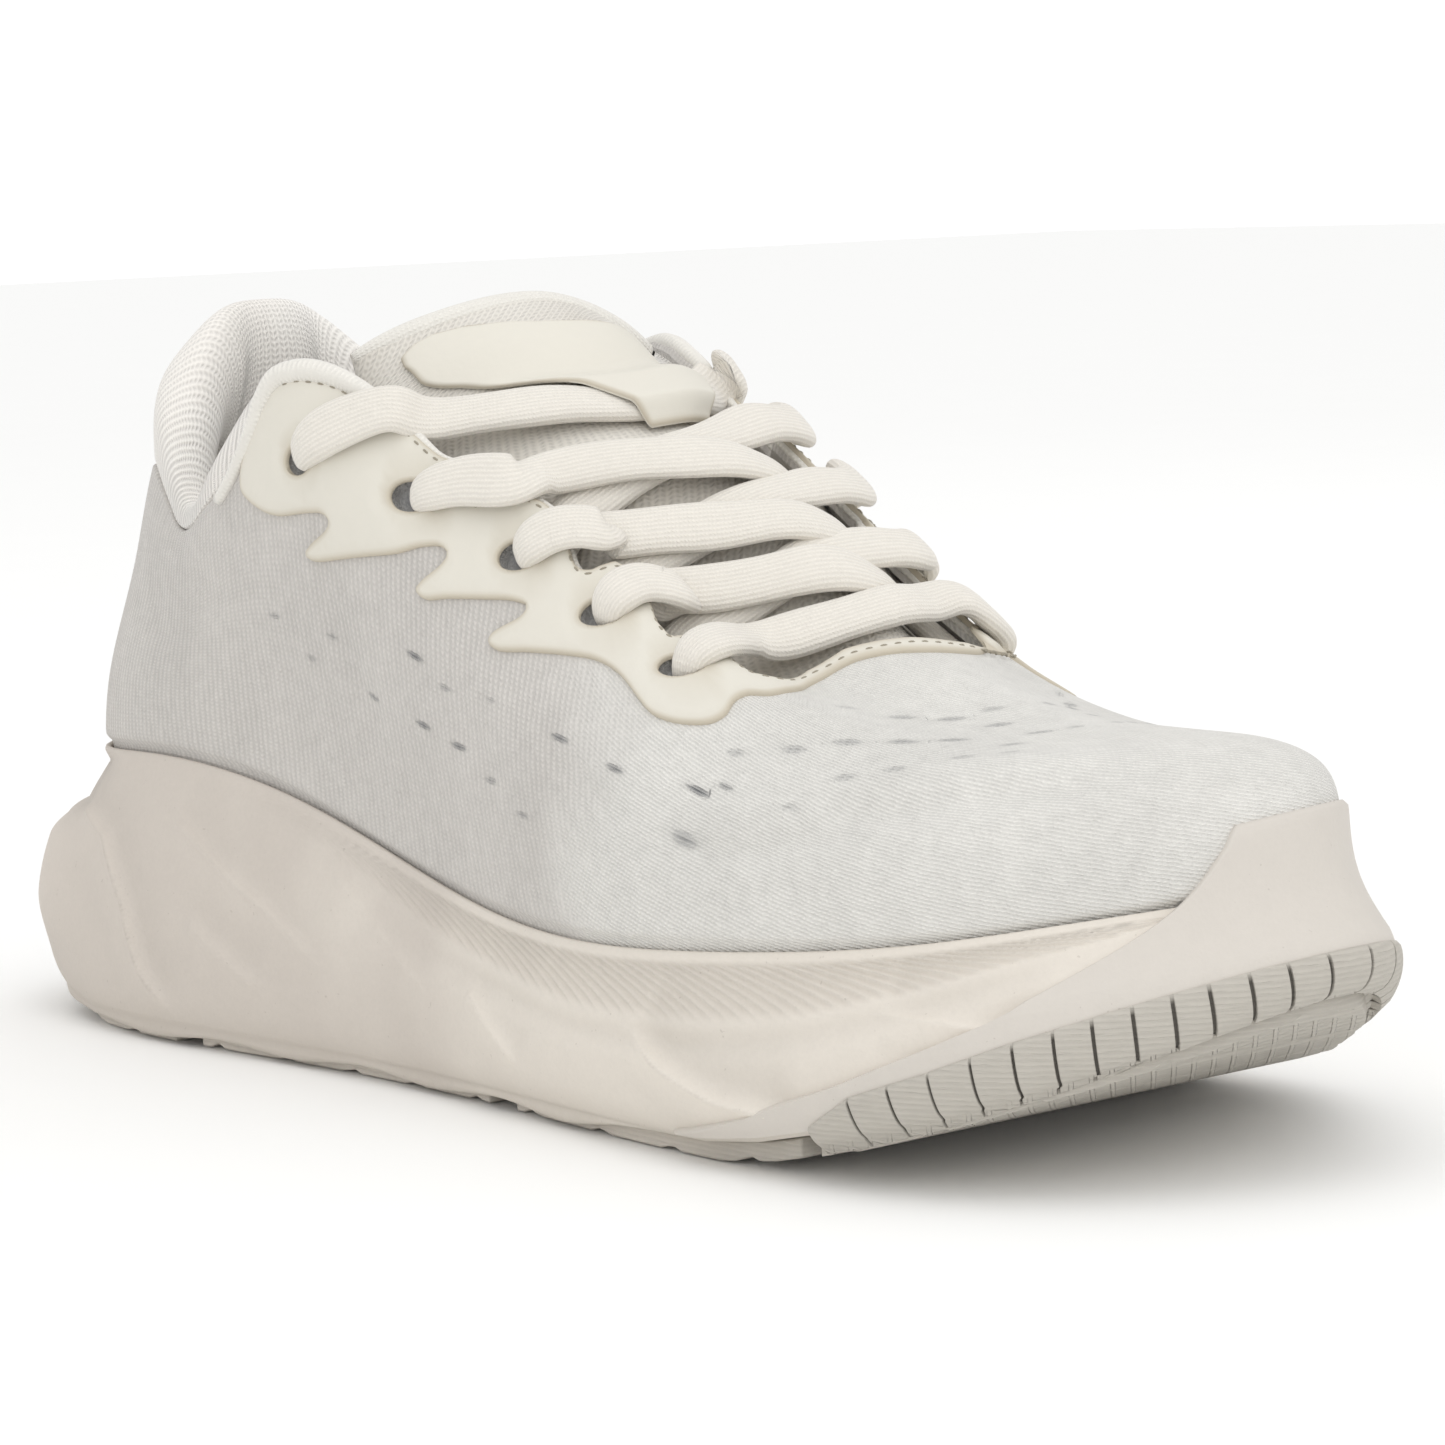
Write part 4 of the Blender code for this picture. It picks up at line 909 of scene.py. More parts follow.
def foam_material(name, tone_a, tone_b, rough, grain):
    """Moulded foam: bead skin, uneven colour, a painted highlight where it stands proud and
    painted shade in its hollows, darkened towards the heel partly by painted shade, painted shade
    low down near the floor.
    """
    mat = Shader(name, rough=rough, spec=0.35)
    x, _, z = mat.xyz
    big = mat.noise(scale=0.025)
    mid = mat.noise(scale=0.28, detail=3, rough=0.6)
    fine = mat.noise(scale=4.5, rough=0.6)
    bead = mat.cells(scale=1.3)
    # The relief mark paints a highlight on crests and shade in the hollows.
    change = mat.weigh((mid, 0.05, 0.5), (fine, 0.05 * grain, 0.5),
                       (mat.mark("relief"), 0.06), (bead, 0.03 * grain, 0.4))
    # The slow drift is the foam's uneven colour plus a painted shade that darkens it towards the
    # heel.
    drift_and_heel_shade = mat.ease(mat.add(big, mat.mul(x, by=0.004)), start=0.25, end=0.75)
    base = mat.mix(drift_and_heel_shade, screen(*tone_a), screen(*tone_b))
    speck = mat.ease(mat.noise(scale=1.1, detail=1, rough=0.4), start=0.76, end=0.80)
    base = mat.mix(mat.mul(speck, by=0.25), base, screen(150, 140, 128))
    # Darker low down: painted shade near the floor.
    low = mat.ease(z, start=9.0, end=0.0)
    near_floor_shade = mat.mul(low, by=mat.ramp(mid, times=0.5, plus=0.1))
    base = mat.mix(near_floor_shade, base, screen(186, 178, 166))
    height = mat.weigh((fine, 0.02 * grain), (bead, 0.03 * grain), (mid, 0.05))
    return mat.finish(mat.tinted(base, change), height,
                      mat.add(rough - 0.05, mat.mul(mid, by=0.12)))


def rubber_material():
    """Tread rubber: finely ribbed along its sides, with a crossed grid underneath and painted
    shade in its sipe cuts.
    """
    mat = Shader("outsole_rubber", rough=0.7, spec=0.35)
    x, y, z = mat.xyz
    mid = mat.noise(scale=0.5, detail=3, rough=0.6)
    fine = mat.noise(scale=3.5, rough=0.6)
    streak = mat.noise(scale=0.9, detail=3, rough=0.65, stretch=(0.35, 0.35, 3.2))
    line = mat.wave(mat.add(z, mat.mul(streak, by=0.8)), period=0.85)
    facing = mat.split(mat.node("NewGeometry").outputs["Normal"])[2]
    under = mat.ease(facing, start=-0.75, end=-0.95)
    grid = mat.op("MAXIMUM", mat.wave(mat.add(x, y), period=4.0),
                  mat.wave(mat.add(x, mat.mul(y, by=-1.0)), period=4.0))
    change = mat.weigh((line, 0.08, 0.5), (streak, 0.16, 0.5), (mid, 0.08, 0.5),
                       (mat.mul(grid, by=under), 0.06))
    base = mat.mix(mat.ease(x, start=40.0, end=90.0),
                   screen(212, 205, 195), screen(188, 183, 174))
    # The edge mark paints dark shade into the sipe cuts.
    base = mat.mix(mat.mark("edge"), base, screen(96, 92, 86))
    raised = mat.mul(mat.ease(grid, start=0.80, end=0.95), by=under)
    height = mat.weigh((line, 0.05), (streak, 0.16), (fine, 0.03), (raised, 0.5))
    return mat.finish(mat.tinted(base, change), height)


def thread_material():
    mat = Shader("stitch_thread", rough=0.85, sheen=0.2, spec=0.3)
    twist = mat.wave(mat.add(*mat.uv[:2]), period=0.35)
    change = mat.weigh((twist, 0.12), (mat.noise(scale=3.0), 0.1, 0.5))
    return mat.finish(mat.tinted(screen(166, 158, 142), change), mat.mul(twist, by=0.08))


def board_material(name, tone, rough, fibre):
    """Pressed fibre or moulded sheet: short crossed fibres and a matte skin."""
    mat = Shader(name, rough=rough, spec=0.3)
    web = mat.op("MAXIMUM", *[mat.noise(scale=1.6, detail=3, rough=0.7, stretch=stretch)
                              for stretch in ((3.0, 0.4, 1.0), (0.4, 3.0, 1.0))])
    mid = mat.noise(scale=0.3)
    change = mat.weigh((web, fibre, 0.5), (mid, 0.06, 0.5))
    return mat.finish(mat.tinted(screen(*tone), change), mat.weigh((web, 0.12), (mid, 0.08)))


def aglet_material():
    mat = Shader("lace_tip_film", rough=0.25, spec=0.5)
    mid, ring = mat.noise(scale=0.8), mat.wave(mat.xyz[2], period=1.2)
    mat.surface.inputs["Coat Weight"].default_value = 0.5
    return mat.finish(mat.tinted(screen(222, 217, 206), mat.weigh((mid, 0.08, 0.5))),
                      mat.weigh((mid, 0.05), (ring, 0.01)), mat.add(0.2, mat.mul(mid, by=0.15)))


KNIT = knit_material()
COLLAR = rib_material("collar_mesh", tone_a=(240, 236, 230), tone_b=(242, 239, 234),
                      pitch_u=1.35, pitch_v=1.05, deep=0.13)
TONGUE = rib_material("tongue_mesh", tone_a=(217, 212, 203), tone_b=(222, 218, 210),
                      pitch_u=1.15, pitch_v=0.95, deep=0.11, slant=0.6)
# The lining's tones, greyer than the collar's, are painted shade of the inside of the shoe.
LININGS = rib_material("lining_mesh", tone_a=(205, 199, 190), tone_b=(214, 210, 203),
                       pitch_u=1.6, pitch_v=1.3, deep=0.2)
BINDING = plain_cloth_material("binding_cloth", tone=(232, 229, 222), pitch=0.9, deep=0.12)
LACE = lace_material()
FILM = film_material()
FOAM = foam_material("midsole_foam", tone_a=(203, 195, 186), tone_b=(222, 215, 205),
                     rough=0.66, grain=1.0)
GUARD = foam_material("bumper_rubber", tone_a=(211, 205, 197), tone_b=(209, 203, 195),
                      rough=0.55, grain=0.6)
TREAD_RUBBER = rubber_material()
THREAD = thread_material()
SOCK_CLOTH = plain_cloth_material("sockliner_cloth", tone=(214, 211, 204), pitch=1.1, deep=0.14)
STROBEL = board_material("strobel_board", tone=(205, 202, 192), rough=0.85, fibre=0.14)
STIFF = board_material("stiffener_sheet", tone=(206, 200, 188), rough=0.6, fibre=0.06)
AGLET = aglet_material()


# ------------------------------------------------------ details of the upper
ARC_TURN = np.linspace(0, STATIONS, 1101)
ARC_RUN = run_lengths(upper(ARC_TURN, 0.45))


def arc(turn):
    """Length round the upper, measured at mid-height."""
    turn = np.asarray(turn, float)
    laps = np.floor(turn / STATIONS)
    return np.interp(turn - laps * STATIONS, ARC_TURN, ARC_RUN) + laps * ARC_RUN[-1]


def film_plane(turn, rise):
    """The upper laid out flat: length round it, nominal height."""
    return np.stack([arc(turn), np.asarray(rise, float) * FILM_MM], -1)


def from_film_plane(points):
    return np.interp(points[:, 0], ARC_RUN, ARC_TURN), points[:, 1] / FILM_MM


# Throat and collar edges, lateral half: turn, rise.
THROAT = [
    (3.66, .772), (3.80, .778), (3.99, .813), (4.10, .865), (4.18, .925), (4.30, .977),
    (4.49, .997), (4.84, 1.008), (5.19, 1.0), (5.45, .985), (5.62, .965), (5.76, .96),
    (5.90, .972), (6.02, .935), (6.12, .90), (6.28, .940), (6.47, .988), (6.72, 1.0),
    (6.88, .992), (6.96, .93), (7.03, .878), (7.15, .892), (7.38, .972), (7.56, .995),
    (7.66, .95), (7.74, .865), (7.86, .838), (8.01, .885), (8.20, .955), (8.33, .95),
    (8.44, .87), (8.56, .848), (8.82, .889), (9.2, .94), (9.52, .972), (10.1, .997),
    (11.0, 1.0)]
# Seam between knit and padded collar: turn, rise.
COLLAR_SEAM = [(0, .69), (1, .70), (2, .80), (2.5, .855), (3.0, .87), (3.35, .845),
               (3.66, .80), (4.1, .80)]
# Outer contour of the moulded film, lateral half, from the flap's top to the throat's toe
# end: turn, rise. Then the medial half's own toe part, in lateral turns.
FILM_LINE = [
    (4.25, .945), (4.15, .915), (4.07, .865), (4.01, .80), (3.97, .755), (3.98, .72),
    (4.06, .69), (4.22, .660), (4.39, .652), (4.55, .660), (4.72, .673), (4.83, .679),
    (4.885, .672), (4.85, .655), (4.66, .611), (4.62, .596), (4.69, .590), (4.93, .611),
    (5.49, .686), (5.75, .738), (5.90, .760), (5.955, .755), (5.92, .730), (5.75, .671),
    (5.705, .650), (5.78, .644), (6.0, .673), (6.3, .708), (6.53, .731), (6.645, .732),
    (6.62, .712), (6.40, .653), (6.37, .634), (6.44, .626), (6.71, .648), (7.03, .672),
    (7.25, .684), (7.40, .679), (7.50, .664), (7.61, .636), (7.70, .613), (7.80, .604),
    (7.95, .605), (8.13, .621), (8.24, .651), (8.32, .697), (8.43, .731), (8.61, .755),
    (8.85, .812), (9.06, .860), (9.33, .912), (9.61, .940), (10.0, .962), (10.5, .968),
    (11.0, .965)]
MEDIAL_LINE = [(8.24, .68), (8.36, .80), (8.50, .90), (8.75, .945), (9.2, .958),
               (10.0, .965), (11.0, .965)]
# Lateral turns and the medial turns that answer them.
LATERAL_TURN = [3.6, 4.05, 4.62, 5.66, 6.58, 7.30, 7.97, 8.6, 9.5, 11.0]
MEDIAL_TURN = [18.4, 17.95, 17.35, 16.4, 15.55, 14.8, 14.05, 13.45, 12.5, 11.0]


def medial(turn):
    """The medial turn that answers a lateral one."""
    return np.interp(turn, LATERAL_TURN, MEDIAL_TURN)


def lateral(turn):
    turn = np.asarray(turn, float) % STATIONS
    return np.where(turn <= TOE, turn, np.interp(turn, MEDIAL_TURN[::-1], LATERAL_TURN[::-1]))


def throat_top(turn):
    """Rise of the knit's edge: the scalloped throat, then the collar seam."""
    turn = np.asarray(turn, float) % STATIONS
    answer = lateral(turn)
    seam = lookup(np.where(turn <= TOE, answer, heel_count(turn)), COLLAR_SEAM)
    return np.where(answer < THROAT[0][0], seam, lookup(answer, THROAT))


# Dropped-stitch slits: turn, rise, half length, half width, tilt in degrees, strength.
SLITS = [
    (4.19, .467, 1.2, .4, 24, .45), (4.76, .47, 1.0, .4, 24, .4), (4.51, .409, 1.0, .4, 24, .35),
    (5.67, .531, 1.5, .42, 24, .9), (5.96, .507, 1.2, .4, 24, .4), (6.42, .53, 1.0, .35, 24, .3),
    (5.12, .402, 1.3, .42, 24, .6), (5.68, .409, 1.5, .42, 22, .85),
    (6.06, .405, 1.5, .42, 22, .85), (6.36, .362, 1.2, .42, 24, .5),
    (6.66, .312, 1.2, .4, 24, .5), (7.04, .507, 1.5, .42, 24, .8), (7.47, .470, 1.5, .42, 24, .75),
    (8.03, .446, 1.9, .45, 28, 1.0), (8.20, .467, 1.1, .4, 30, .6), (7.89, .314, 1.8, .9, 20, .6),
    (8.28, .56, 1.1, .6, 0, .35), (8.66, .592, 1.4, .7, -5, .45), (9.04, .634, 1.6, .75, -8, .5),
    (9.36, .805, 1.2, .6, -8, .3), (9.79, .784, 1.6, .75, -10, .5),
    (9.46, .655, 1.6, .75, -8, .55), (10.16, .777, 1.7, .75, -10, .55),
    (9.85, .672, 1.6, .7, -10, .55), (10.60, .800, 1.5, .7, -12, .4),
    (10.38, .742, 1.6, .75, -12, .5), (10.45, .690, 1.6, .7, -12, .5),
    (10.10, .632, 1.4, .6, -12, .4), (10.75, .700, 1.2, .6, -12, .35),
    (9.25, .540, 1.2, .6, -8, .35), (9.70, .575, 1.3, .6, -8, .35),
    (8.93, .515, 1.2, .6, -5, .35), (8.57, .423, 1.1, .5, 0, .25),
    (9.98, .585, 1.2, .5, -8, .25)]
NO_SLIT = (9.0, 9.0, 0.0)


def surface_frame(turn, rise):
    """Point, unit vector towards higher turn, unit vector up the surface, outward normal."""
    normal = upper_normal(turn, rise)
    along = unit(upper(turn + 0.01, rise) - upper(turn - 0.01, rise))
    up = np.cross(normal, along)
    return shell(turn, rise, 0.0), along, up * np.sign(up[2]), normal


def slit_marks(points):
    """Place in the nearest slit, in units of its size, and its strength."""
    flat = points.reshape(-1, 3)
    marks = np.tile(np.array(NO_SLIT), (len(flat), 1))
    best = np.full(len(flat), 1e9)
    for mirrored in (False, True):
        for turn, rise, half_length, half_width, tilt, power in SLITS:
            if mirrored and turn > 10.9:
                continue
            centre, along, up, normal = surface_frame(medial(turn) if mirrored else turn, rise)
            if mirrored:
                along = -along
            if tilt >= 20:      # side slits follow the courses, turning over the ball
                tilt = float(np.interp(turn, [6.3, 8.0], [-2, 16]))
            cos, sin = math.cos(math.radians(tilt)), math.sin(math.radians(tilt))
            off = flat - centre
            length, width = off @ (along * cos - up * sin), off @ (up * cos + along * sin)
            away = np.sqrt(length ** 2 + width ** 2)
            near = (away < 6.0) & (away < best) & (np.abs(off @ normal) < 3)
            best = np.where(near, away, best)
            x, y = length / (half_length * 1.15), width / half_width
            fade = np.clip((2.4 - np.hypot(x, y)) / 0.9, 0, 1)
            marks[near] = np.stack([x, y, power * fade], -1)[near]
    return marks.reshape(points.shape)


EYELETS = ROWS["L"] + ROWS["M"]
SLACK = [1.1, 2.6, 2.1, 1.7, 1.5]    # how much of each hole lies open on the lace's heel side
HOLE_LONG, HOLE_SHORT = 2.65, 2.55   # half lengths of a hole, before its slack
HOLE_EDGE = 2.75                     # what eyelet_distance gives at the rim, less 0..0.2


def eyelet_frames():
    """Centre of each hole, its long and short ways, and its half lengths."""
    frames = []
    for i, (turn, rise) in enumerate(EYELETS):
        point, along, up, normal = surface_frame(turn, rise)
        slack = SLACK[i % 5] * 0.5
        to_heel = -along if i < 5 else along
        way = unit(to_heel * 0.93 - up * 0.37)
        frames.append((point + way * slack, way, np.cross(normal, way),
                       HOLE_LONG + slack, HOLE_SHORT))
    return frames


HOLES = eyelet_frames()
HOLE_EDGE = 2.75      # what eyelet_distance gives on a hole's rim


def eyelet_distance(points):
    """Distance past the rim of the nearest hole, plus HOLE_EDGE."""
    nearest = np.full(points.shape[:-1], 1e9)
    for centre, long_way, short_way, half_long, half_short in HOLES:
        off = points - centre
        share = np.sqrt((off @ long_way / half_long) ** 2 + (off @ short_way / half_short) ** 2)
        away = np.linalg.norm(off, axis=-1)
        past = np.where(away < 14, (share - 1) * half_short, away - half_short)
        nearest = np.minimum(nearest, past + HOLE_EDGE)
    return nearest


# --------------------------------------------------------------------- midsole
# Flutes: crest line in the side plane (x, z), width on its left, width on its right, height,
# then depth, distance and width of the valley.
FLUTES = [
    ([(19, 38), (33, 33), (43, 23), (49, 12), (54, 8), (58, 4)], 1.6, 7.0, 0.95, 0.75, 5.5, 4.0),
    ([(53, 38), (61, 35), (69, 31), (76, 28), (84, 25), (98, 18)],
     1.6, 5.0, 0.75, 0.45, 5.0, 4.0),
    ([(62, 22), (67, 19), (72, 17), (82, 12)], 1.5, 4.5, 0.6, 0.3, 4.5, 3.5),
    ([(98, 33), (121, 21), (130, 16)], 2.5, 6.0, 0.35, 0.2, 5.0, 4.0),
    ([(141, 19), (150, 13), (153, 11), (155, 8)], 1.5, 6.0, 0.7, 0.5, 4.0, 3.5),
    ([(187, 18.5), (195, 14), (201, 12), (206, 10.5), (213, 10), (224, 9)],
     1.3, 7.0, 1.1, 1.2, 3.8, 3.4),
    ([(236, 25.6), (246, 25), (253, 24.2), (259, 24)], 0.7, 1.3, 0.5, 0.6, 1.9, 1.5),
]
# Fine ribs by stations from the heel: rise of their foot, and their strength.
RIB_TURN = [3.5, 4.27, 4.87, 5.51, 6.02, 6.47, 6.88, 7.37, 7.93, 8.52, 9.06, 9.57, 10.02, 10.39]
RIB_FOOT = [.94, .89, .85, .78, .74, .69, .63, .62, .62, .63, .71, .80, .86, .96]
RIB_POWER = [.10, .22, .40, .65, .9, 1, 1, 1, 1, 1, .9, .75, .6, .3]
RIB_PITCH = 2.4


def sculpt(turn, rise, points):
    """How far the sole's side stands out from its plain face."""
    x, z = points[..., 0], points[..., 2]
    station = heel_count(turn)
    out = np.zeros(x.shape)
    fade = step(rise, 0.0, 0.10) * (1 - step(rise, 0.93, 0.995))
    for line, left, right, high, deep, valley_off, valley_width in FLUTES:
        off, along = line_distance(x, z, line)
        ends = step(along, 0.0, 0.10) * (1 - step(along, 0.82, 1.0)) * 0.9 + 0.1
        away = np.abs(off)
        crest = 0.55 * np.exp(-(away / 0.75) ** 1.2) + 0.6 * np.where(
            off > 0, np.exp(-away / (0.9 * left)), np.exp(-(away / right) ** 1.2))
        valley = np.where(off > 0, (away / 3.0) * np.exp(1 - away / 3.0),
                          0.35 * bell(away - valley_off - 3, valley_width))
        out += fade * ends * (high * crest - deep * valley)
    # The back of the heel swells out below its stepped edge.
    out += (2.1 * (1 - step(station, 0.9, 2.6)) * step(rise, 0.12, 0.35)
            * (1 - step(rise, 0.58, 0.72)))
    # The heel's upper edge steps in behind the first flute.
    out -= (2.0 * step(rise, 0.70, 0.80) * (1 - step(rise, 0.965, 1.0))
            * (1 - step(station, 1.6, 2.3)))
    # Fine diagonal ribs under the top line.
    low = np.interp(station, RIB_TURN, RIB_FOOT, left=0.97, right=0.99)
    power = np.interp(station, RIB_TURN, RIB_POWER, left=0.0, right=0.0)
    share = (rise - low) / np.maximum(0.985 - low, 0.01)
    band = step(share, 0.0, 0.30) * (1 - step(share, 0.86, 0.98)) * power
    bend = 0.28 * np.clip(share, 0, 1) ** 2
    phase = 2 * math.pi * (0.65 * x + z * (1 + bend)) / RIB_PITCH
    out -= 0.62 * band * (0.5 - 0.5 * np.cos(phase + 0.7 * np.sin(phase)))
    # A soft waist under the ribs, deepest at mid-length.
    out -= (0.6 * bell(rise - low + 0.09, 0.07) * power * step(station, 4.6, 6.0)
            * (1 - step(station, 9.3, 10.2)))
    return out


# Rings of the skirt over the tread's edge: inset, share of the skirt's drop.
SKIRT = [(4.6, 0.0), (2.3, 0.0), (2.0, -0.9), (1.7, -1.0), (0.75, -1.0), (0.25, -0.82),
         (0.02, -0.4)]
# Rings of the rounded lip: inset, height over the top line.
LIP = [(0.12, 0.28), (0.42, 0.45), (0.8, 0.36), (LIP_INSET, 0.05), (LIP_INSET, -1.1),
       (LIP_INSET, -2.2)]


def make_midsole():
    cols, low_rows, high_rows = (1120, 34, 70) if FINE else (560, 20, 34)
    turn = np.linspace(0, STATIONS, cols, endpoint=False)
    rise = np.concatenate([np.linspace(1e-4, 0.55, low_rows),
                           np.linspace(0.55, 1.0, high_rows)[1:]])
    turns, rises = np.meshgrid(turn, rise)
    flank = side(turns, rises)
    relief = sculpt(turns, rises, flank)
    flank = flank + side_normal(turns, rises) * relief[..., None]
    flank[0] += [0, 0, 0.25]
    # A thin skirt hides most of the tread's edge; its lower line is slightly scalloped.
    tread_x = TREAD_LINE(turn)[:, 0]
    reach = (0.62 + 0.18 * np.sin(tread_x / 6.1)) * (1 - step(heel_count(turn), 6.6, 7.6))
    base = ground(tread_x) + RUBBER + LAYER_GAP
    skirt = [tread_ring(turn, inward, base + share * RUBBER * reach)
             for inward, share in SKIRT]
    lip = [inset(TOP_LINE, turn, inward) + [0, 0, lift] for inward, lift in LIP]
    grid = np.concatenate([skirt, flank, lip, on_bed(turn, FLOOR_INSET)[None]])
    relief = np.concatenate([np.zeros((len(SKIRT), cols)), relief,
                             np.zeros((len(LIP) + 1, cols))])
    skin = Skin()
    # The relief is kept on the points so the foam paints a highlight on crests and shade in
    # hollows.
    index = skin.add(grid, relief=relief)
    height = np.concatenate([np.linspace(-9, -1, len(SKIRT)), rise * 42,
                             42 + np.arange(1, len(LIP) + 2) * 0.8])
    skin.quads(index, pair_up(np.append(turn, STATIONS)[None] * SIDE_MM, height[:, None]), True)
    skin.fill(index[-1], 15, lambda x, across: bed(x))
    skin.fill(index[0], 15, lambda x, across: ground(x) + RUBBER + LAYER_GAP)
    settle(skin.make("midsole_moulding", FOAM), "midsole_foam", "midsole")


# ----------------------------------------------------------------- tread rubber
# Pads: name, start and end turn, share of the width, steps along (times the mesh density),
# columns across, inset from the tread edge.
PADS = [("heel_lateral", 0.55, 3.30, 0.34, 12, 9, 2.5),
        ("midfoot_lateral", 3.52, 5.95, 0.26, 10, 9, 2.5),
        ("heel_medial", 21.45, 18.70, 0.34, 12, 9, 2.5),
        ("midfoot_medial", 18.48, 16.05, 0.26, 10, 9, 2.5),
        ("forefoot", 6.18, 8.30, 1.0, 10, 25, 2.5),
        ("toe", 8.45, 10.97, 1.0, 12, 25, 1.5)]
FLEX_PITCH = 0.55     # stations between flex grooves
# Upright cuts of the toe strip, lateral half and tip.
SIPES = [8.76, 8.98, 9.20, 9.417, 9.616, 9.794, 9.952, 10.103, 10.243, 10.371, 10.511, 10.651,
         10.808, 11.0]


def make_pad(name, start, end, width, steps, cols, inward):
    steps *= 4 if FINE else 2
    turn = np.linspace(start, end, steps)
    near = inset(TREAD_LINE, turn, inward)
    far = inset(TREAD_LINE, (STATIONS - turn) % STATIONS, inward)
    share = np.linspace(0, width, cols)[:, None, None]
    plan = near[None] * (1 - share) + far[None] * share
    x = plan[..., 0]
    low, high = with_z(plan, ground(x)), with_z(plan, ground(x) + RUBBER)
    if FINE:        # shallow flex grooves across the underside
        along = np.linspace(0, 1, steps)[None] * abs(end - start)
        low[..., 2] += 0.9 * bell((along + 0.15) % FLEX_PITCH - FLEX_PITCH / 2, 0.035)
    skin = Skin()
    skin.sheet(high, low, plan, edge=np.zeros(x.shape))
    obj = skin.make("tread_" + name, TREAD_RUBBER)
    bake(obj, "BEVEL", width=0.4 * MM, segments=2, limit_method="ANGLE",
         angle_limit=math.radians(35))
    settle(obj, "outsole_rubber", "outsole_" + name)


def make_toe_strip():
    """Rubber that turns up from the toe tread on to the side of the sole, cut by sipes."""
    cuts = SIPES + [STATIONS - s for s in SIPES[:-1]]
    shoulder, half_cut = 0.008, 0.0052
    knots = [s + off for s in cuts for off in (-shoulder, -half_cut, 0, half_cut, shoulder)]
    turn = np.unique(np.concatenate([np.linspace(8.50, 13.5, 900 if FINE else 420), knots]))
    station = heel_count(turn)
    top = np.interp(station, [8.5, 8.76, 9.2, 9.6, 10.0, 10.25, 10.6, 11],
                    [.08, .20, .25, .31, .36, .385, .385, .37])
    near = np.min(np.abs(turn[:, None] - np.array(cuts)[None]), axis=1)
    cut = 1 - step(near, 0.0050, 0.0085)
    share = np.linspace(0, 1, 12)
    turns = np.broadcast_to(turn, (len(share), len(turn)))
    rises = share[:, None] * top[None]
    face = side(turns, np.maximum(rises, 1e-4))
    normals = side_normal(turns, np.maximum(rises, 1e-3))
    edge = step(1 - share, 0.0, 0.12)[:, None]
    deep = cut[None] * (1 - step(share, 0.86, 0.95))[:, None]
    out = face + normals * ((1.45 + 0.45 * edge) - 0.55 * deep)[..., None]
    # Bring the lower rows down to the tread's underside.
    base = ground(TREAD_LINE(turn)[:, 0])
    curl = step(station, 9.6, 10.8)
    low = [tread_ring(turn, 2.6 + 3.0 * curl, base + 0.02),
           tread_ring(turn, 0.9 + 1.6 * curl, base + 0.25 + 0.9 * curl),
           tread_ring(turn, -0.1 + 0.7 * curl, base + 1.2 + 1.3 * curl)]
    push = with_z(plan_normal(TREAD_LINE, turn), np.zeros(len(turn)))
    for ring in low[1:]:
        ring -= push * (1.15 * cut)[:, None]
    foot = tread_ring(turn, 3.2 + 3.0 * curl, base + 1.0)
    outer = np.concatenate([low, out])
    inner = np.concatenate([[foot + [0, 0, lift] for lift in (0, 0.6, 1.2)],
                            face - normals * 0.9])
    uv = pair_up(turn[None] * SIDE_MM, np.arange(len(outer))[:, None] * 0.7)
    skin = Skin()
    # The edge mark lays painted shade over the sipe cuts.
    skin.sheet(outer, inner, uv, edge=np.vstack([cut, cut, cut, deep]))
    settle(skin.make("toe_tread_edge", TREAD_RUBBER, crease=60), "outsole_rubber")


# ------------------------------------------------------------------- toe guard
# Lateral and medial ends of the guard's seven rows, from low on the sole to the vamp.
GUARD_LATERAL = [7.60, 8.60, 9.60, 10.10, 10.40, 10.50, 10.62]
GUARD_MEDIAL = [14.2, 13.4, 12.6, 12.2, 11.85, 11.75, 11.65]


def smooth_values(at, table):
    """Smooth curve through evenly spaced values."""
    rows = np.repeat(np.array(table, float)[:, None, None], len(at), 1)
    return open_spline(rows, at)[:, 0]


def edge_distance(points, *edges):
    """Distance along the grid's rows or columns to the nearest of some edges."""
    return np.minimum.reduce([np.linalg.norm(points - edge, axis=-1) for edge in edges])


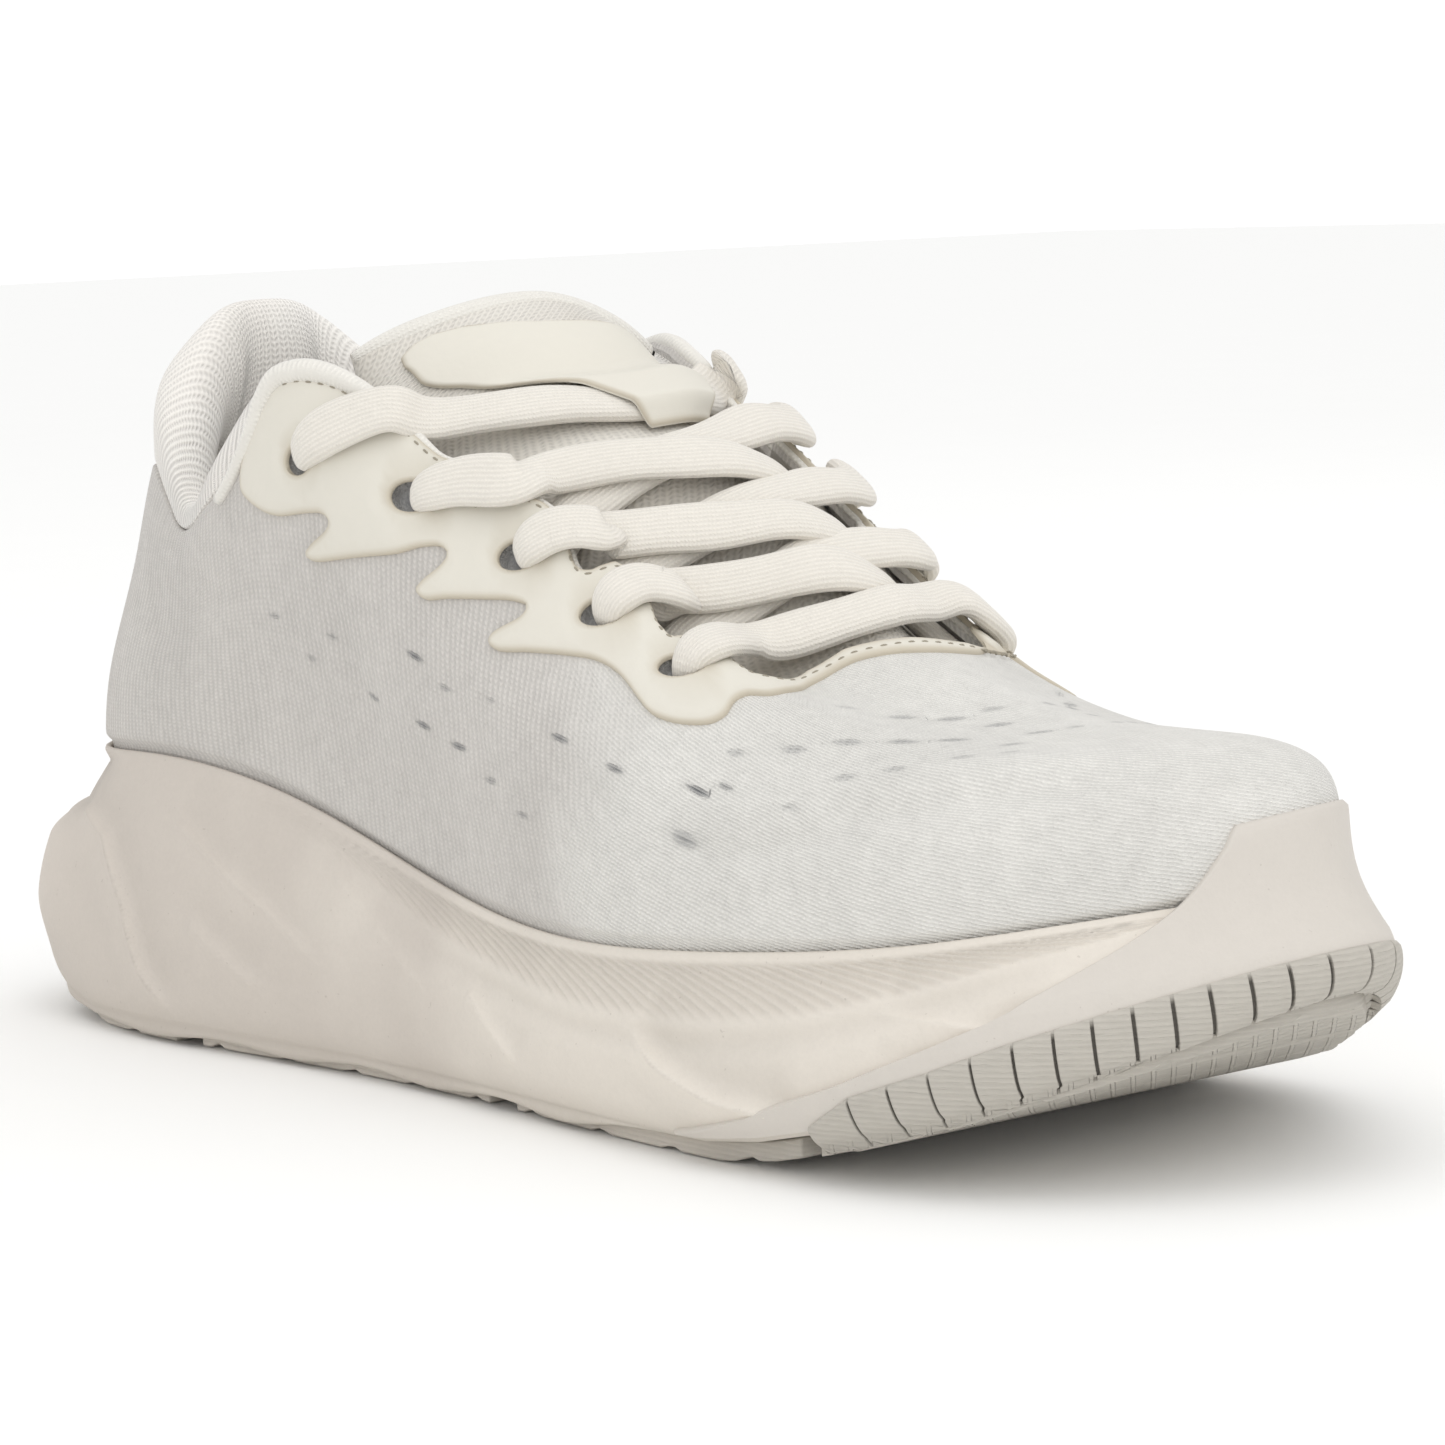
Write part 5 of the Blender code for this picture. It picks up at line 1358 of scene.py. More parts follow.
def make_guard():
    cols, rows = (160, 46) if FINE else (80, 24)
    share = np.linspace(0, 1, cols)
    row = np.linspace(0, 6, rows)
    starts, ends = smooth_values(row, GUARD_LATERAL), smooth_values(row, GUARD_MEDIAL)
    points, normals = [], []
    for place, start, end in zip(row, starts, ends):
        turn = start + (end - start) * share
        if place <= 4.0:        # on the sole's side
            rise = np.interp(place, [0, 1, 2, 3, 4], [0.05, 0.25, 0.5, 0.8, 1.0])
            points.append(side(turn, np.full(cols, rise)))
            normals.append(side_normal(turn, np.full(cols, max(rise, 1e-3))))
        else:                   # on the vamp
            rise = np.interp(place, [4, 5, 6], [0.02, 0.13, 0.262])
            rise = rise - 0.014 * (2 * np.abs(share - 0.5)) ** 2
            points.append(shell(turn, rise, 0.0))
            normals.append(upper_normal(turn, rise))
    points, normals = np.array(points), np.array(normals)
    # Bridge the hollow between the sole's side and the vamp with one even sweep.
    low, high = int(rows * 0.36), int(rows * 0.93)
    for _ in range(260 if FINE else 70):
        pull = 0.5 * (points[low - 1:high - 1] + points[low + 1:high + 1]) - points[low:high]
        out = (pull * normals[low:high]).sum(-1, keepdims=True)
        points[low:high] += pull * np.where(out > 0, 0.5, 0.12)
    normals = unit(np.cross(np.gradient(points, axis=1), np.gradient(points, axis=0)))
    if normals[rows // 2, cols // 2, 0] < 0:
        normals = -normals
    width = edge_distance(points, points[:, :1], points[:, -1:], points[-1:])
    outer = points + normals * (0.55 + 0.65 * quarter_round(width / 0.8))[..., None]
    skin = Skin()
    skin.sheet(outer, points - normals * 0.9, pair_up(share[None] * 90, row[:, None] * 8),
               relief=np.zeros(width.shape))
    settle(skin.make("toe_guard", GUARD, crease=70), "bumper_rubber", "toe_bumper")


# ---------------------------------------------------------------------- upper
CREASE = [(7.6, .29), (8.24, .295), (8.61, .35), (8.91, .415), (9.49, .44), (9.98, .44),
          (10.5, .445)]                  # flex line over the toes: turn, rise
DRAPES = [((4.7, .58), (5.2, .30), 0.5, 4.0), ((5.9, .56), (6.6, .30), 0.45, 4.5),
          ((6.9, .50), (7.6, .34), 0.5, 3.5), ((3.2, .70), (3.6, .45), 0.35, 4.0),
          ((2.3, .62), (2.9, .35), 0.3, 5.0)]   # two ends (turn, rise), depth, width


def wrinkles(turn, rise):
    """Soft hollows in the knit: the flex line over the toes and slight drapes."""
    x, z = arc(lateral(turn)), rise * RISE_MM

    def distance_to(line):
        return line_distance(x, z, [(float(arc(t)), r * RISE_MM) for t, r in line])
    off, along = distance_to(CREASE)
    power = np.where(np.asarray(turn) % STATIONS <= TOE, 1.0, 0.6)
    out = -1.25 * bell(off, 4.2) * step(along, 0, 0.2) * (1 - step(along, 0.8, 1.0)) * power
    out += (0.55 * bell(off - 7.5, 5.0) * step(along, 0, 0.3)
            * (1 - step(along, 0.75, 1.0)) * power)
    for start, end, depth, width in DRAPES:
        off, along = distance_to([start, end])
        out -= depth * bell(off, width) * step(along, 0.0, 0.35) * (1 - step(along, 0.65, 1.0))
    # The knit draws in a little round the feather line.
    return out - 0.5 * (1 - step(rise, 0.02, 0.10))


def make_upper():
    cols, rows = (1000, 120) if FINE else (500, 60)
    foot_inset, first_rise, edge_gap = FLOOR_INSET + 0.45, 0.05, 0.012
    turn = np.linspace(0, STATIONS, cols, endpoint=False)
    top = throat_top(turn)
    span = top - edge_gap - first_rise
    turns = np.broadcast_to(turn, (rows, cols))
    rises = first_rise + span[None] * np.linspace(0, 1, rows)[:, None]
    plain = upper(turns, rises)
    near = eyelet_distance(plain)
    out = (wrinkles(turns, rises) - 0.9 * (1 - step(rises, first_rise, 0.075))
           - 1.9 * (1 - step(near, 2.7, 3.3)))
    face = plain + upper_normal(turns, rises) * out[..., None]
    marks = slit_marks(plain)
    # The knit under each lace hole takes a slit mark, so the material paints it dark as shade in
    # the hole.
    hole = near < 4.5
    marks[hole] = np.stack([near / 2.9, np.zeros_like(near), np.full_like(near, 0.9)], -1)[hole]
    foot = [on_bed(turn, foot_inset, LAYER_GAP), shell(turn, 0.0, -1.6),
            shell(turn, 0.025, -1.5)]
    # The cut edge rolls over: rise past the last row, offset.
    lid = [shell(turn, top - edge_gap + past, off)
           for past, off in ((0.006, -0.25), (0.010, -0.9), (0.006, -1.6), (0.0, -2.1))]
    blank = np.array(NO_SLIT)
    marks = np.concatenate([np.tile(blank, (3, cols, 1)), marks, np.tile(blank, (4, cols, 1))])
    inner = [on_bed(turn, foot_inset + 2.4, LAYER_GAP), shell(turn, 0.0, -3.8)]
    inner += [shell(turn, first_rise + span * share, -KNIT_THICK)
              for share in np.linspace(0, 1, 14)]
    height = np.concatenate([np.outer([-0.03, 0.0, 0.02], np.ones(cols)), rises, [top] * 4])
    height = np.concatenate([height, height[:, :1]], 1)
    uv = pair_up(arc(np.append(turn, STATIONS)), height * RISE_MM)
    skin = Skin()
    skin.sheet(np.concatenate([foot, face, lid]), np.array(inner), uv, wrap=True, slit=marks)
    settle(skin.make("upper_cloth", KNIT), "knit", "upper_knit")


def make_lining():
    turn = np.linspace(0, STATIONS, 440 if FINE else 220, endpoint=False)
    station = heel_count(turn)
    top = np.where(station < 3.9, np.interp(station, SEAM_TURN, SEAM_RISE) - 0.02, 0.66)
    for _ in range(6):
        top = (np.roll(top, 1) + 2 * top + np.roll(top, -1)) / 4
    shares = np.linspace(0, 1, 24)
    faces = []
    for out, inward in ((-4.0, 9.3), (-5.0, 10.9)):
        face = [on_bed(turn, inward, 2.1), shell(turn, 0.02, out - 1.6),
                shell(turn, 0.07, out - 1.2)]
        face += [shell(turn, 0.17 + (top - 0.17) * share, out) for share in shares]
        faces.append(np.array(face))
    height = np.concatenate([[0, 0.02, 0.07], 0.17 + 0.5 * shares])
    uv = pair_up(arc(np.append(turn, STATIONS))[None], height[:, None] * RISE_MM)
    skin = Skin()
    skin.sheet(*faces, uv, wrap=True)
    settle(skin.make("lining_cloth", LININGS), "lining_mesh", "lining")


def make_collar():
    cols, sides = (150, 40) if FINE else (90, 26)
    reach = 5.3       # stations the collar runs to on either side of the heel
    turn = np.linspace(-reach, reach, cols)
    station = np.abs(turn)
    seam = lookup(station, COLLAR_SEAM + [(reach, 0.86)])
    gap = 1 - seam
    thick = np.interp(station, SEAM_TURN, COLLAR_THICK)
    full = np.clip((gap - 0.08) / 0.2, 0, 1) * (1 - step(station, 3.3, 4.0))
    tuck = 1.3 * step(station, 3.45, 4.05)
    top = 1.0 + 0.03 * full - 0.02 * step(station, 4.0, 4.6)
    heel = 1 - step(station, 1.8, 3.2)
    # Section from the seam up the outside, over the top and down the inside: rise, offset.
    section = [
        (seam, -0.15 - tuck), (seam + 0.10 * gap, 0.9 * full - tuck),
        (seam + 0.32 * gap, 1.7 * full - tuck + 0.6 * heel),
        (seam + 0.66 * gap, 1.4 * full - tuck + 2.0 * heel),
        (seam + 0.92 * gap, -0.1 * thick - 0.6 * tuck + 2.5 * heel),
        (top, -0.36 * thick - 0.2 * tuck + 2.2 * heel), (top, -0.62 * thick + 1.0 * heel),
        (seam + 0.88 * gap, -0.88 * thick), (seam + 0.55 * gap, -thick),
        (seam + 0.25 * gap, -0.93 * thick), (seam, -np.maximum(0.62 * thick, 4.7)),
        (seam - 0.01, -2.9)]
    curve = closed_spline([shell(turn, rise, out) for rise, out in section])
    place = np.linspace(0, len(section), sides, endpoint=False)
    grid = curve(place).reshape(sides, cols, 3).transpose(1, 0, 2)
    if FINE:          # start a little slimmer; the cloth run fills it out
        middle = grid.mean(1, keepdims=True)
        grid = middle + (grid - middle) * 0.955
    skin = Skin()
    index = skin.add(grid)
    samples = np.linspace(0, 6, 61)
    length = np.sign(turn) * np.interp(station, samples, arc(samples))
    ring = grid[cols // 2]
    around = run_lengths(np.vstack([ring, ring[:1]]))
    skin.quads(index, pair_up(length[:, None] * 1.05, around[None]), True)
    skin.fan(index[0])
    skin.fan(index[-1])
    obj = skin.make("collar_pad", COLLAR)
    pins = np.zeros(len(obj.data.vertices))
    held = pins[:cols * sides].reshape(cols, sides)
    low = (place < 0.6) | (place > 9.4)
    held[:, low] = HELD
    held[:2] = held[-2:] = HELD
    held[:, ~low & ((place < 1.4) | (place > 8.6))] = HALF_HELD
    pins[cols * sides:] = HELD
    inflate(obj, pins, cap=0.0012)
    bake(obj, "SUBSURF", levels=1, render_levels=1)
    settle(obj, "collar_knit", "collar_roll")


# ---------------------------------------------------------------- moulded film
def film_outline():
    """Lower and upper halves of the film's closed outline: turn, rise."""
    answered = [q for q in FILM_LINE if q[0] < 8.14 or q[1] < 0.6] + MEDIAL_LINE
    low = FILM_LINE + [(float(medial(t)), r) for t, r in answered[-2::-1]]
    turn = np.linspace(4.33, 11.0, 130)
    margin = np.interp(turn, [4.3, 4.6, 5.2, 5.6, 8.8, 9.8, 11],
                       [.030, .032, .026, .007, .006, .004, .0])
    rise = np.minimum(throat_top(turn) - margin, 1.0)
    over_medial = np.stack([medial(turn), rise], 1)[:-1]
    return np.array(low), np.vstack([over_medial, np.stack([turn, rise], 1)[::-1]])


def hole_rings(turn, rise, hole, count):
    """A lace hole and two rings round it, in the film's plane."""
    centre, long_way, short_way, half_long, half_short = hole
    per_turn = (upper(turn + 0.01, rise) - upper(turn - 0.01, rise)) / 0.02
    per_rise = (upper(turn, rise + 0.01) - upper(turn, rise - 0.01)) / 0.02
    flatten = np.linalg.pinv(np.stack([per_turn, per_rise], 1))
    angle = np.linspace(0, 2 * math.pi, count, endpoint=False)[:, None]
    rings = []
    for more in (0.0, 0.25, 0.8):
        off = (centre + long_way * np.cos(angle) * (half_long + more)
               + short_way * np.sin(angle) * (half_short + more) - upper(turn, rise)) @ flatten.T
        rings.append(film_plane(turn + off[:, 0], rise + off[:, 1]))
    return rings


def ring_distance(points, ring):
    way = np.roll(ring, -1, 0) - ring
    square = np.maximum((way * way).sum(-1), 1e-9)[None]
    away = np.full(len(points), 1e9)
    for i in range(0, len(points), 400):
        off = points[i:i + 400][:, None] - ring[None]
        share = np.clip((off * way[None]).sum(-1) / square, 0, 1)
        away[i:i + 400] = np.linalg.norm(off - share[..., None] * way[None], axis=-1).min(1)
    return away


def inside(points, ring):
    x, y = points[:, 0][:, None], points[:, 1][:, None]
    x0, y0 = ring.T[:, None]
    x1, y1 = np.roll(ring, -1, 0).T[:, None]
    rise = np.where(y1 == y0, 1e-9, y1 - y0)
    hit = ((y0 > y) != (y1 > y)) & (x < (x1 - x0) * (y - y0) / rise + x0)
    return hit.sum(1) % 2 == 1


def film_mesh():
    """Points and triangles of the film in its plane, and its outline."""
    low, top = film_outline()
    ring = np.vstack([smooth_curve(film_plane(*low.T), 0.8),
                      smooth_curve(film_plane(*top.T), 0.9)])
    holes = [hole_rings(*eyelet, hole, 30) for eyelet, hole in zip(EYELETS, HOLES)]
    points, edges, count = [ring], [], len(ring)
    edges += [(i, (i + 1) % count) for i in range(count)]
    for rings in holes:
        sides = len(rings[0])
        edges += [(count + i, count + (i + 1) % sides) for i in range(sides)]
        points += rings
        count += sides * len(rings)
    # Rings of points just inside the outline let its edge roll over.
    ahead = np.roll(ring, -1, 0)
    way = unit(ahead - np.roll(ring, 1, 0))
    inward = np.stack([-way[:, 1], way[:, 0]], 1)
    if np.sum(ring[:, 0] * ahead[:, 1] - ahead[:, 0] * ring[:, 1]) <= 0:
        inward = -inward
    for off in (0.15, 0.36, 0.62, 1.05):
        moved = ring + inward * off
        points.append(moved[inside(moved, ring) & (ring_distance(moved, ring) > off * 0.9)])
    pitch = 1.25 if FINE else 2.0
    x, y = np.meshgrid(*[np.arange(ring[:, k].min(), ring[:, k].max(), pitch) for k in (0, 1)])
    x[::2] += pitch / 2
    grid = np.stack([x.ravel(), y.ravel()], -1)
    grid = grid[inside(grid, ring)]
    grid = grid[ring_distance(grid, ring) > 1.4]
    clear = np.ones(len(grid), bool)
    for eyelet, rings in zip(EYELETS, holes):
        centre = film_plane(*eyelet)
        reach = np.linalg.norm(rings[-1] - centre, axis=1).max() + 0.5
        clear &= np.linalg.norm(grid - centre, axis=1) > reach
    points.append(grid[clear])
    flat, _, tris, _, _, _ = delaunay_2d_cdt(
        [Vector(p) for p in np.vstack(points)], edges, [], 1, 1e-5)
    flat = np.array([tuple(p) for p in flat])
    tris = np.array([f for f in tris if len(f) == 3])
    middle = flat[tris].mean(1)
    keep = inside(middle, ring)
    for rings in holes:
        keep &= ~inside(middle, rings[0])
    return flat, tris[keep], ring


def make_film():
    flat, tris, ring = film_mesh()
    turn, rise = from_film_plane(flat)
    plain, normals = upper(turn, rise), upper_normal(turn, rise)
    rim = ring_distance(flat, ring)
    near = eyelet_distance(plain)
    past = np.clip(near - HOLE_EDGE, 0, None)
    drape = wrinkles(turn, rise) * 0.8
    # A rolled edge, with a shallow ring and a low swell round each hole.
    out = (0.36 + 0.40 * quarter_round(np.minimum(rim / 0.6, past / 0.55))
           - 0.18 * bell(near - 3.9, 1.0) + 0.12 * bell(near - 5.4, 1.2) + drape)
    skin = Skin()
    # The edge mark paints shade on the rolled rims and round the holes, and all over the underside
    # and walls.
    top = skin.add(plain + normals * out[:, None], edge=bell(np.minimum(rim, past), 0.7))
    low = skin.add(plain + normals * (np.minimum(drape, 0.02) - 0.15)[:, None],
                   edge=np.ones(len(flat)))
    skin.tris(top[tris], flat[tris])
    skin.tris(low[tris][:, ::-1], flat[tris][:, ::-1])
    # Wall along every edge that only one triangle uses.
    edges = np.concatenate([tris[:, [0, 1]], tris[:, [1, 2]], tris[:, [2, 0]]])
    _, first, uses = np.unique(np.sort(edges, 1), axis=0, return_index=True,
                               return_counts=True)
    start, end = edges[first[uses == 1]].T
    skin.add_faces(np.stack([top[start], top[end], low[end], low[start]], 1),
                   flat[np.stack([start, end, end, start], 1)])
    settle(skin.make("eyestay_film", FILM, crease=75), "overlay_film", "eyestay_overlay")


# ------------------------------------------------------- folded edge and thread
def make_binding():
    """Folded knit edge, from the lateral flap round the throat to the medial flap."""
    line = THROAT + [(float(medial(t)), r) for t, r in THROAT[-2::-1]]
    path = smooth_curve(film_plane(*np.array(line).T), 0.9 if FINE else 1.4)
    turn, rise = from_film_plane(relax(path, 3))
    rise = rise - 0.006
    place = lateral(turn)
    width = np.interp(place, [3.66, 3.95, 4.15, 4.3, 4.6, 5.2, 5.5, 5.8, 11],
                      [0.95, 1.2, 1.6, 1.95, 1.95, 1.6, 1.05, 0.6, 0.5])
    out = np.interp(place, [3.66, 4.3, 5.2, 5.8], [0.2, 0.35, 0.3, -0.7])
    lower = np.interp(place, [4.1, 4.4, 5.2, 5.6], [0.0, 0.012, 0.010, 0.0])
    skin = Skin()
    skin.tube(shell(turn, rise - lower, out), upper_normal(turn, rise), width, width * 0.95,
              sides=12, power=1.0)
    settle(skin.make("folded_edge", BINDING), "knit")


def make_stitches():
    length, pitch, radius, sunk = 1.35, 2.45, 0.2, 0.04
    points = relax(smooth_curve(film_plane(*film_outline()[1].T), 1.0), 4)
    turn, rise = from_film_plane(points)
    rise = rise - 0.016
    path, normals = shell(turn, rise, 0.70), upper_normal(turn, rise)
    run = run_lengths(path)
    skin = Skin()
    start = 1.0
    while start + length < run[-1]:
        at = start + length * np.array([0, 0.12, 0.3, 0.5, 0.7, 0.88, 1.0])
        facing = unit(resample(normals, run, at))
        lift = radius * np.array([-1.3, -0.2, 0.45, 0.6, 0.45, -0.2, -1.3]) - sunk
        skin.tube(resample(path, run, at) + facing * lift[:, None], facing, radius, radius,
                  sides=6, power=1.0, start=start)
        start += pitch
    settle(skin.make("edge_stitching", THREAD), "overlay_film")


# --------------------------------------------------------------------- tongue
def turned_up(normals):
    return normals * np.where(normals[..., 2:] < 0, -1, 1)


def grid_uv(points):
    """UVs of a grid from the lengths across and down it."""
    down, across = [np.cumsum(np.linalg.norm(np.diff(points, axis=k), axis=-1), k)
                    for k in (0, 1)]
    down = np.concatenate([np.zeros((1, points.shape[1])), down])
    across = np.concatenate([np.zeros((points.shape[0], 1)), across], 1)
    return np.stack([across, down], -1)


def bend_with_tip(obj):
    """Works out the ends of the tongue's fold line, which are not used, and bakes the piece's
    placement into its mesh.
    """
    start, end = [tuple(float(c) for c in point) for point in
                  world(tongue_at((FACE + BACK) / 2, [1.75, 1.15], [0.0])[:, 0])]
    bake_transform(obj)


def make_tongue():
    rows, cols = (96, 44) if FINE else (56, 28)
    down = np.concatenate([np.linspace(0, 0.35, rows // 6, endpoint=False),
                           np.linspace(0.35, 7.0, rows - rows // 6)])
    across = (np.sin(np.linspace(-math.pi / 2, math.pi / 2, cols)) * 0.35
              + np.linspace(-1, 1, cols) * 0.65)
    face, back = tongue_at(FACE, down, across), tongue_at(BACK, down, across)
    middle = (face + back) / 2
    edge = np.minimum(((1 - np.abs(across)) / 0.14)[None], (down / 0.20)[:, None])
    full = (quarter_round(edge) * 0.94 + 0.06)[..., None]
    skin = Skin()
    skin.sheet(middle + (face - middle) * full, middle + (back - middle) * full, grid_uv(face))
    obj = skin.make("tongue_pad", TONGUE)
    downs, places = down[:, None], np.abs(across)[None]
    hold = np.where((downs > 2.4) | (places > 0.93) | (downs < 0.06), HELD,
                    np.where((downs > 1.9) | (places > 0.8), HALF_HELD, 0.0))
    inflate(obj, np.tile(hold.ravel(), 2), cap=0.0009)
    bake(obj, "SUBSURF", levels=1, render_levels=1)
    bend_with_tip(obj)
    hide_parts("tongue_body", "tongue_tip")


def make_tongue_binding():
    """Rolled binding along the tongue's top edge."""
    across = np.linspace(-0.985, 0.985, 90)
    edge, below = tongue_at(FACE * 0.62 + BACK * 0.38, [0.02, 0.20], across)
    out = unit(edge - below)
    facing = turned_up(unit(np.cross(np.gradient(edge, axis=0), out)))
    width = 2.3 * np.sqrt(np.clip(1 - (np.abs(across) / 1.02) ** 6, 0.02, 1))
    skin = Skin()
    skin.tube(edge - out * 1.2, facing, width, width * 0.92, sides=18, power=0.95)
    settle(skin.make("tongue_binding", BINDING), "tongue_mesh", rides="tongue_tip")


def make_patch():
    """Film on the tongue: a panel on the tip, down to a raised bridge over the lace."""
    rows, cols = (110, 70) if FINE else (60, 40)
    first, last = 0.40, 2.95      # tongue rows the film runs between
    down = np.linspace(first, last, rows)
    left = relax(np.interp(
        down, [first, 0.46, 0.60, 0.80, 0.95, 1.22, 1.6, 2.0, 2.3, last],
        [-0.55, -0.68, -0.735, -0.70, -0.64, -0.54, -0.36, -0.22, -0.13, -0.06]), 3)
    right = relax(np.interp(down, [first, 0.60, 1.1, 1.4, 1.7, 2.0, 2.3, last],
                            [0.42, 0.52, 0.63, 0.64, 0.58, 0.46, 0.36, 0.24]), 3)
    places = left[:, None] + (right - left)[:, None] * np.linspace(0, 1, cols)[None]
    crown = np.interp(places[0], [-0.6, -0.4, -0.3, -0.1, 0.1, 0.3, 0.5],
                      [0.40, 0.50, 0.62, 0.80, 0.87, 0.93, 0.95])
    share = ((down - first) / (last - first))[:, None]
    downs = down[:, None] + (crown - first)[None] * (1 - share) ** 2
    # Look the panel's points up in an even grid of the tongue's face.
    pitch, low_down, low_place = 0.01, 0.3, -0.8
    surface = tongue_at(FACE, np.linspace(low_down, 3.1, 281), np.linspace(low_place, 0.8, 161))
    slopes = turned_up(unit(np.cross(np.gradient(surface, axis=0),
                                     np.gradient(surface, axis=1))))
    row, col = (downs - low_down) / pitch, (places - low_place) / pitch
    i, j = np.clip(row.astype(int), 0, 279), np.clip(col.astype(int), 0, 159)
    part, side_part = (row - i)[..., None], (col - j)[..., None]

    def look(grid):
        return ((grid[i, j] * (1 - part) + grid[i + 1, j] * part) * (1 - side_part)
                + (grid[i, j + 1] * (1 - part) + grid[i + 1, j + 1] * part) * side_part)
    points, normals = look(surface), unit(look(slopes))
    # The film stands up over the lace from its slot to its lower end.
    arch = 3.9 * step(downs, 1.70, 2.30) * (1 - 0.85 * step(downs, 2.72, last))
    rim = edge_distance(points, points[:, :1], points[:, -1:], points[:1], points[-1:])
    lift = 0.42 + arch
    top = points + normals * (lift + 0.35 + 0.40 * quarter_round(rim / 0.8))[..., None]
    skin = Skin()
    # The edge mark paints shade round the panel's rim.
    skin.sheet(top, points + normals * (lift - 0.12)[..., None], grid_uv(points),
               edge=bell(rim, 0.6))
    obj = skin.make("tongue_patch", FILM, crease=75)
    bend_with_tip(obj)
    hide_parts("tongue_overlay", "lace_keeper")


def make_tongue_back():
    down, across = np.linspace(1.62, 7.0, 60), np.linspace(-0.99, 0.99, 34)
    near, far = [tongue_at(tongue_rows(TONGUE_DROP + TONGUE_T + gap), down, across)
                 for gap in (0.35, 1.05)]
    skin = Skin()
    skin.sheet(near, far, grid_uv(near))
    settle(skin.make("tongue_backing", LININGS), "lining_mesh", "tongue_lining")


# ----------------------------------------------------------------------- lace
# A lace key is its place, the way its flat side faces, its half width and half thickness.
OVER, UNDER = 2.75, -4.3      # lace centre line over and under the flaps


def over_tongue(across, down, lift):
    """Lace key above the tongue's face."""
    def at(a, d):
        return tongue_at(FACE, [d], [a])[0, 0]
    normal = unit(np.cross(at(across, down + 0.05) - at(across, down - 0.05),
                           at(across + 0.02, down) - at(across - 0.02, down)))
    normal = normal if normal[2] > 0 else -normal
    return at(across, down) + normal * lift, normal, LACE_W, LACE_T


def by_flap(turn, rise, out, half_width=LACE_W, half_thick=LACE_T):
    """Lace key over or under a flap."""
    return shell(turn, rise, out), upper_normal(turn, rise), half_width, half_thick


def dive(s, k):
    """Over flap s and down through eyelet k, full right up to the hole, to under the flap."""
    turn, rise = ROWS[s][k]
    edge = EDGES[s][k]

    def on(share, out, *size):
        return by_flap(turn + share * (edge - turn), rise + share * (1 - rise), out, *size)
    facing = unit(upper(turn, rise) - upper(edge, 1.0))
    return [on(0.62, OVER), on(0.34, OVER, 3.6), on(0.17, OVER - 0.5, 3.3, 1.5),
            on(0.06, OVER - 1.6, 2.6, 1.4), (shell(turn, rise, -0.9), facing, 2.0, 1.2),
            on(0.05, UNDER + 0.7, 2.2, 1.2), on(0.28, UNDER, 3.2)]


# Diagonal runs over the tongue: place across, shift in rows, lift.
HIGH_RUN = [(0.42, -0.18, 1.9), (0.21, 0.02, 2.7), (0.0, -0.05, 4.0), (-0.15, -0.28, 5.0),
            (-0.28, -0.55, 5.5), (-0.45, -0.85, 5.6)]
LOW_RUN = [(0.42, -0.40, 2.1), (0.21, -0.49, 2.0), (0.0, -0.55, 1.8), (-0.15, -0.60, 3.2),
           (-0.28, -0.66, 6.7)]


def cross(s, k, high):
    """Out from under flap s at row k, over the tongue, into the other side's next eyelet."""
    other, way = ("M", -1) if s == "L" else ("L", 1)
    leave = EDGES[s][k] + 0.38 * (EDGES[s][k - 1] - EDGES[s][k])
    land = EDGES[other][k - 1] + 0.28 * (EDGES[other][k] - EDGES[other][k - 1])
    down = k + 2 - (0.2 if high and k == 4 else 0.0)
    keys = [by_flap(leave, 0.99, UNDER - 0.3)]
    keys += [over_tongue(way * across, down + shift, lift)
             for across, shift, lift in (HIGH_RUN if high else LOW_RUN)]
    return keys + [by_flap(land, 1.0, OVER + 0.6)] + dive(other, k - 1)


def row_bar(s, k):
    """Half a straight row, from the crown over flap s and into eyelet k."""
    way = -1 if s == "L" else 1
    keys = [over_tongue(way * across, k + row, lift)
            for across, row, lift in ((0.12, 2.12, 3.8), (0.27, 2.05, 5.4))]
    return keys + [by_flap(EDGES[s][k], 1.0, OVER + 0.6)] + dive(s, k)


# The top row's bar over the tongue from medial to lateral: across, down, lift.
TOP_BAR = [(0.52, 2.1, 4.6), (0.42, 2.3, 2.9), (0.28, 2.5, 2.0), (0.10, 2.62, 1.95),
           (-0.08, 2.56, 2.0), (-0.20, 2.46, 2.9), (-0.33, 2.36, 4.3), (-0.5, 2.1, 5.4)]
# Tails down between the layers: turn, rise, offset.
TOP_TAIL = [(4.52, 0.70, -5.3), (4.42, 0.62, -6.9), (4.33, 0.50, -7.0), (4.25, 0.38, -7.0),
            (4.2, 0.27, -7.3)]
SECOND_TAIL = [(5.62, 0.75, -4.5), (5.56, 0.66, -6.2), (5.48, 0.56, -7.0), (5.36, 0.44, -7.0),
               (5.2, 0.32, -7.0), (5.1, 0.22, -7.3)]
TAIL_W = 3.1


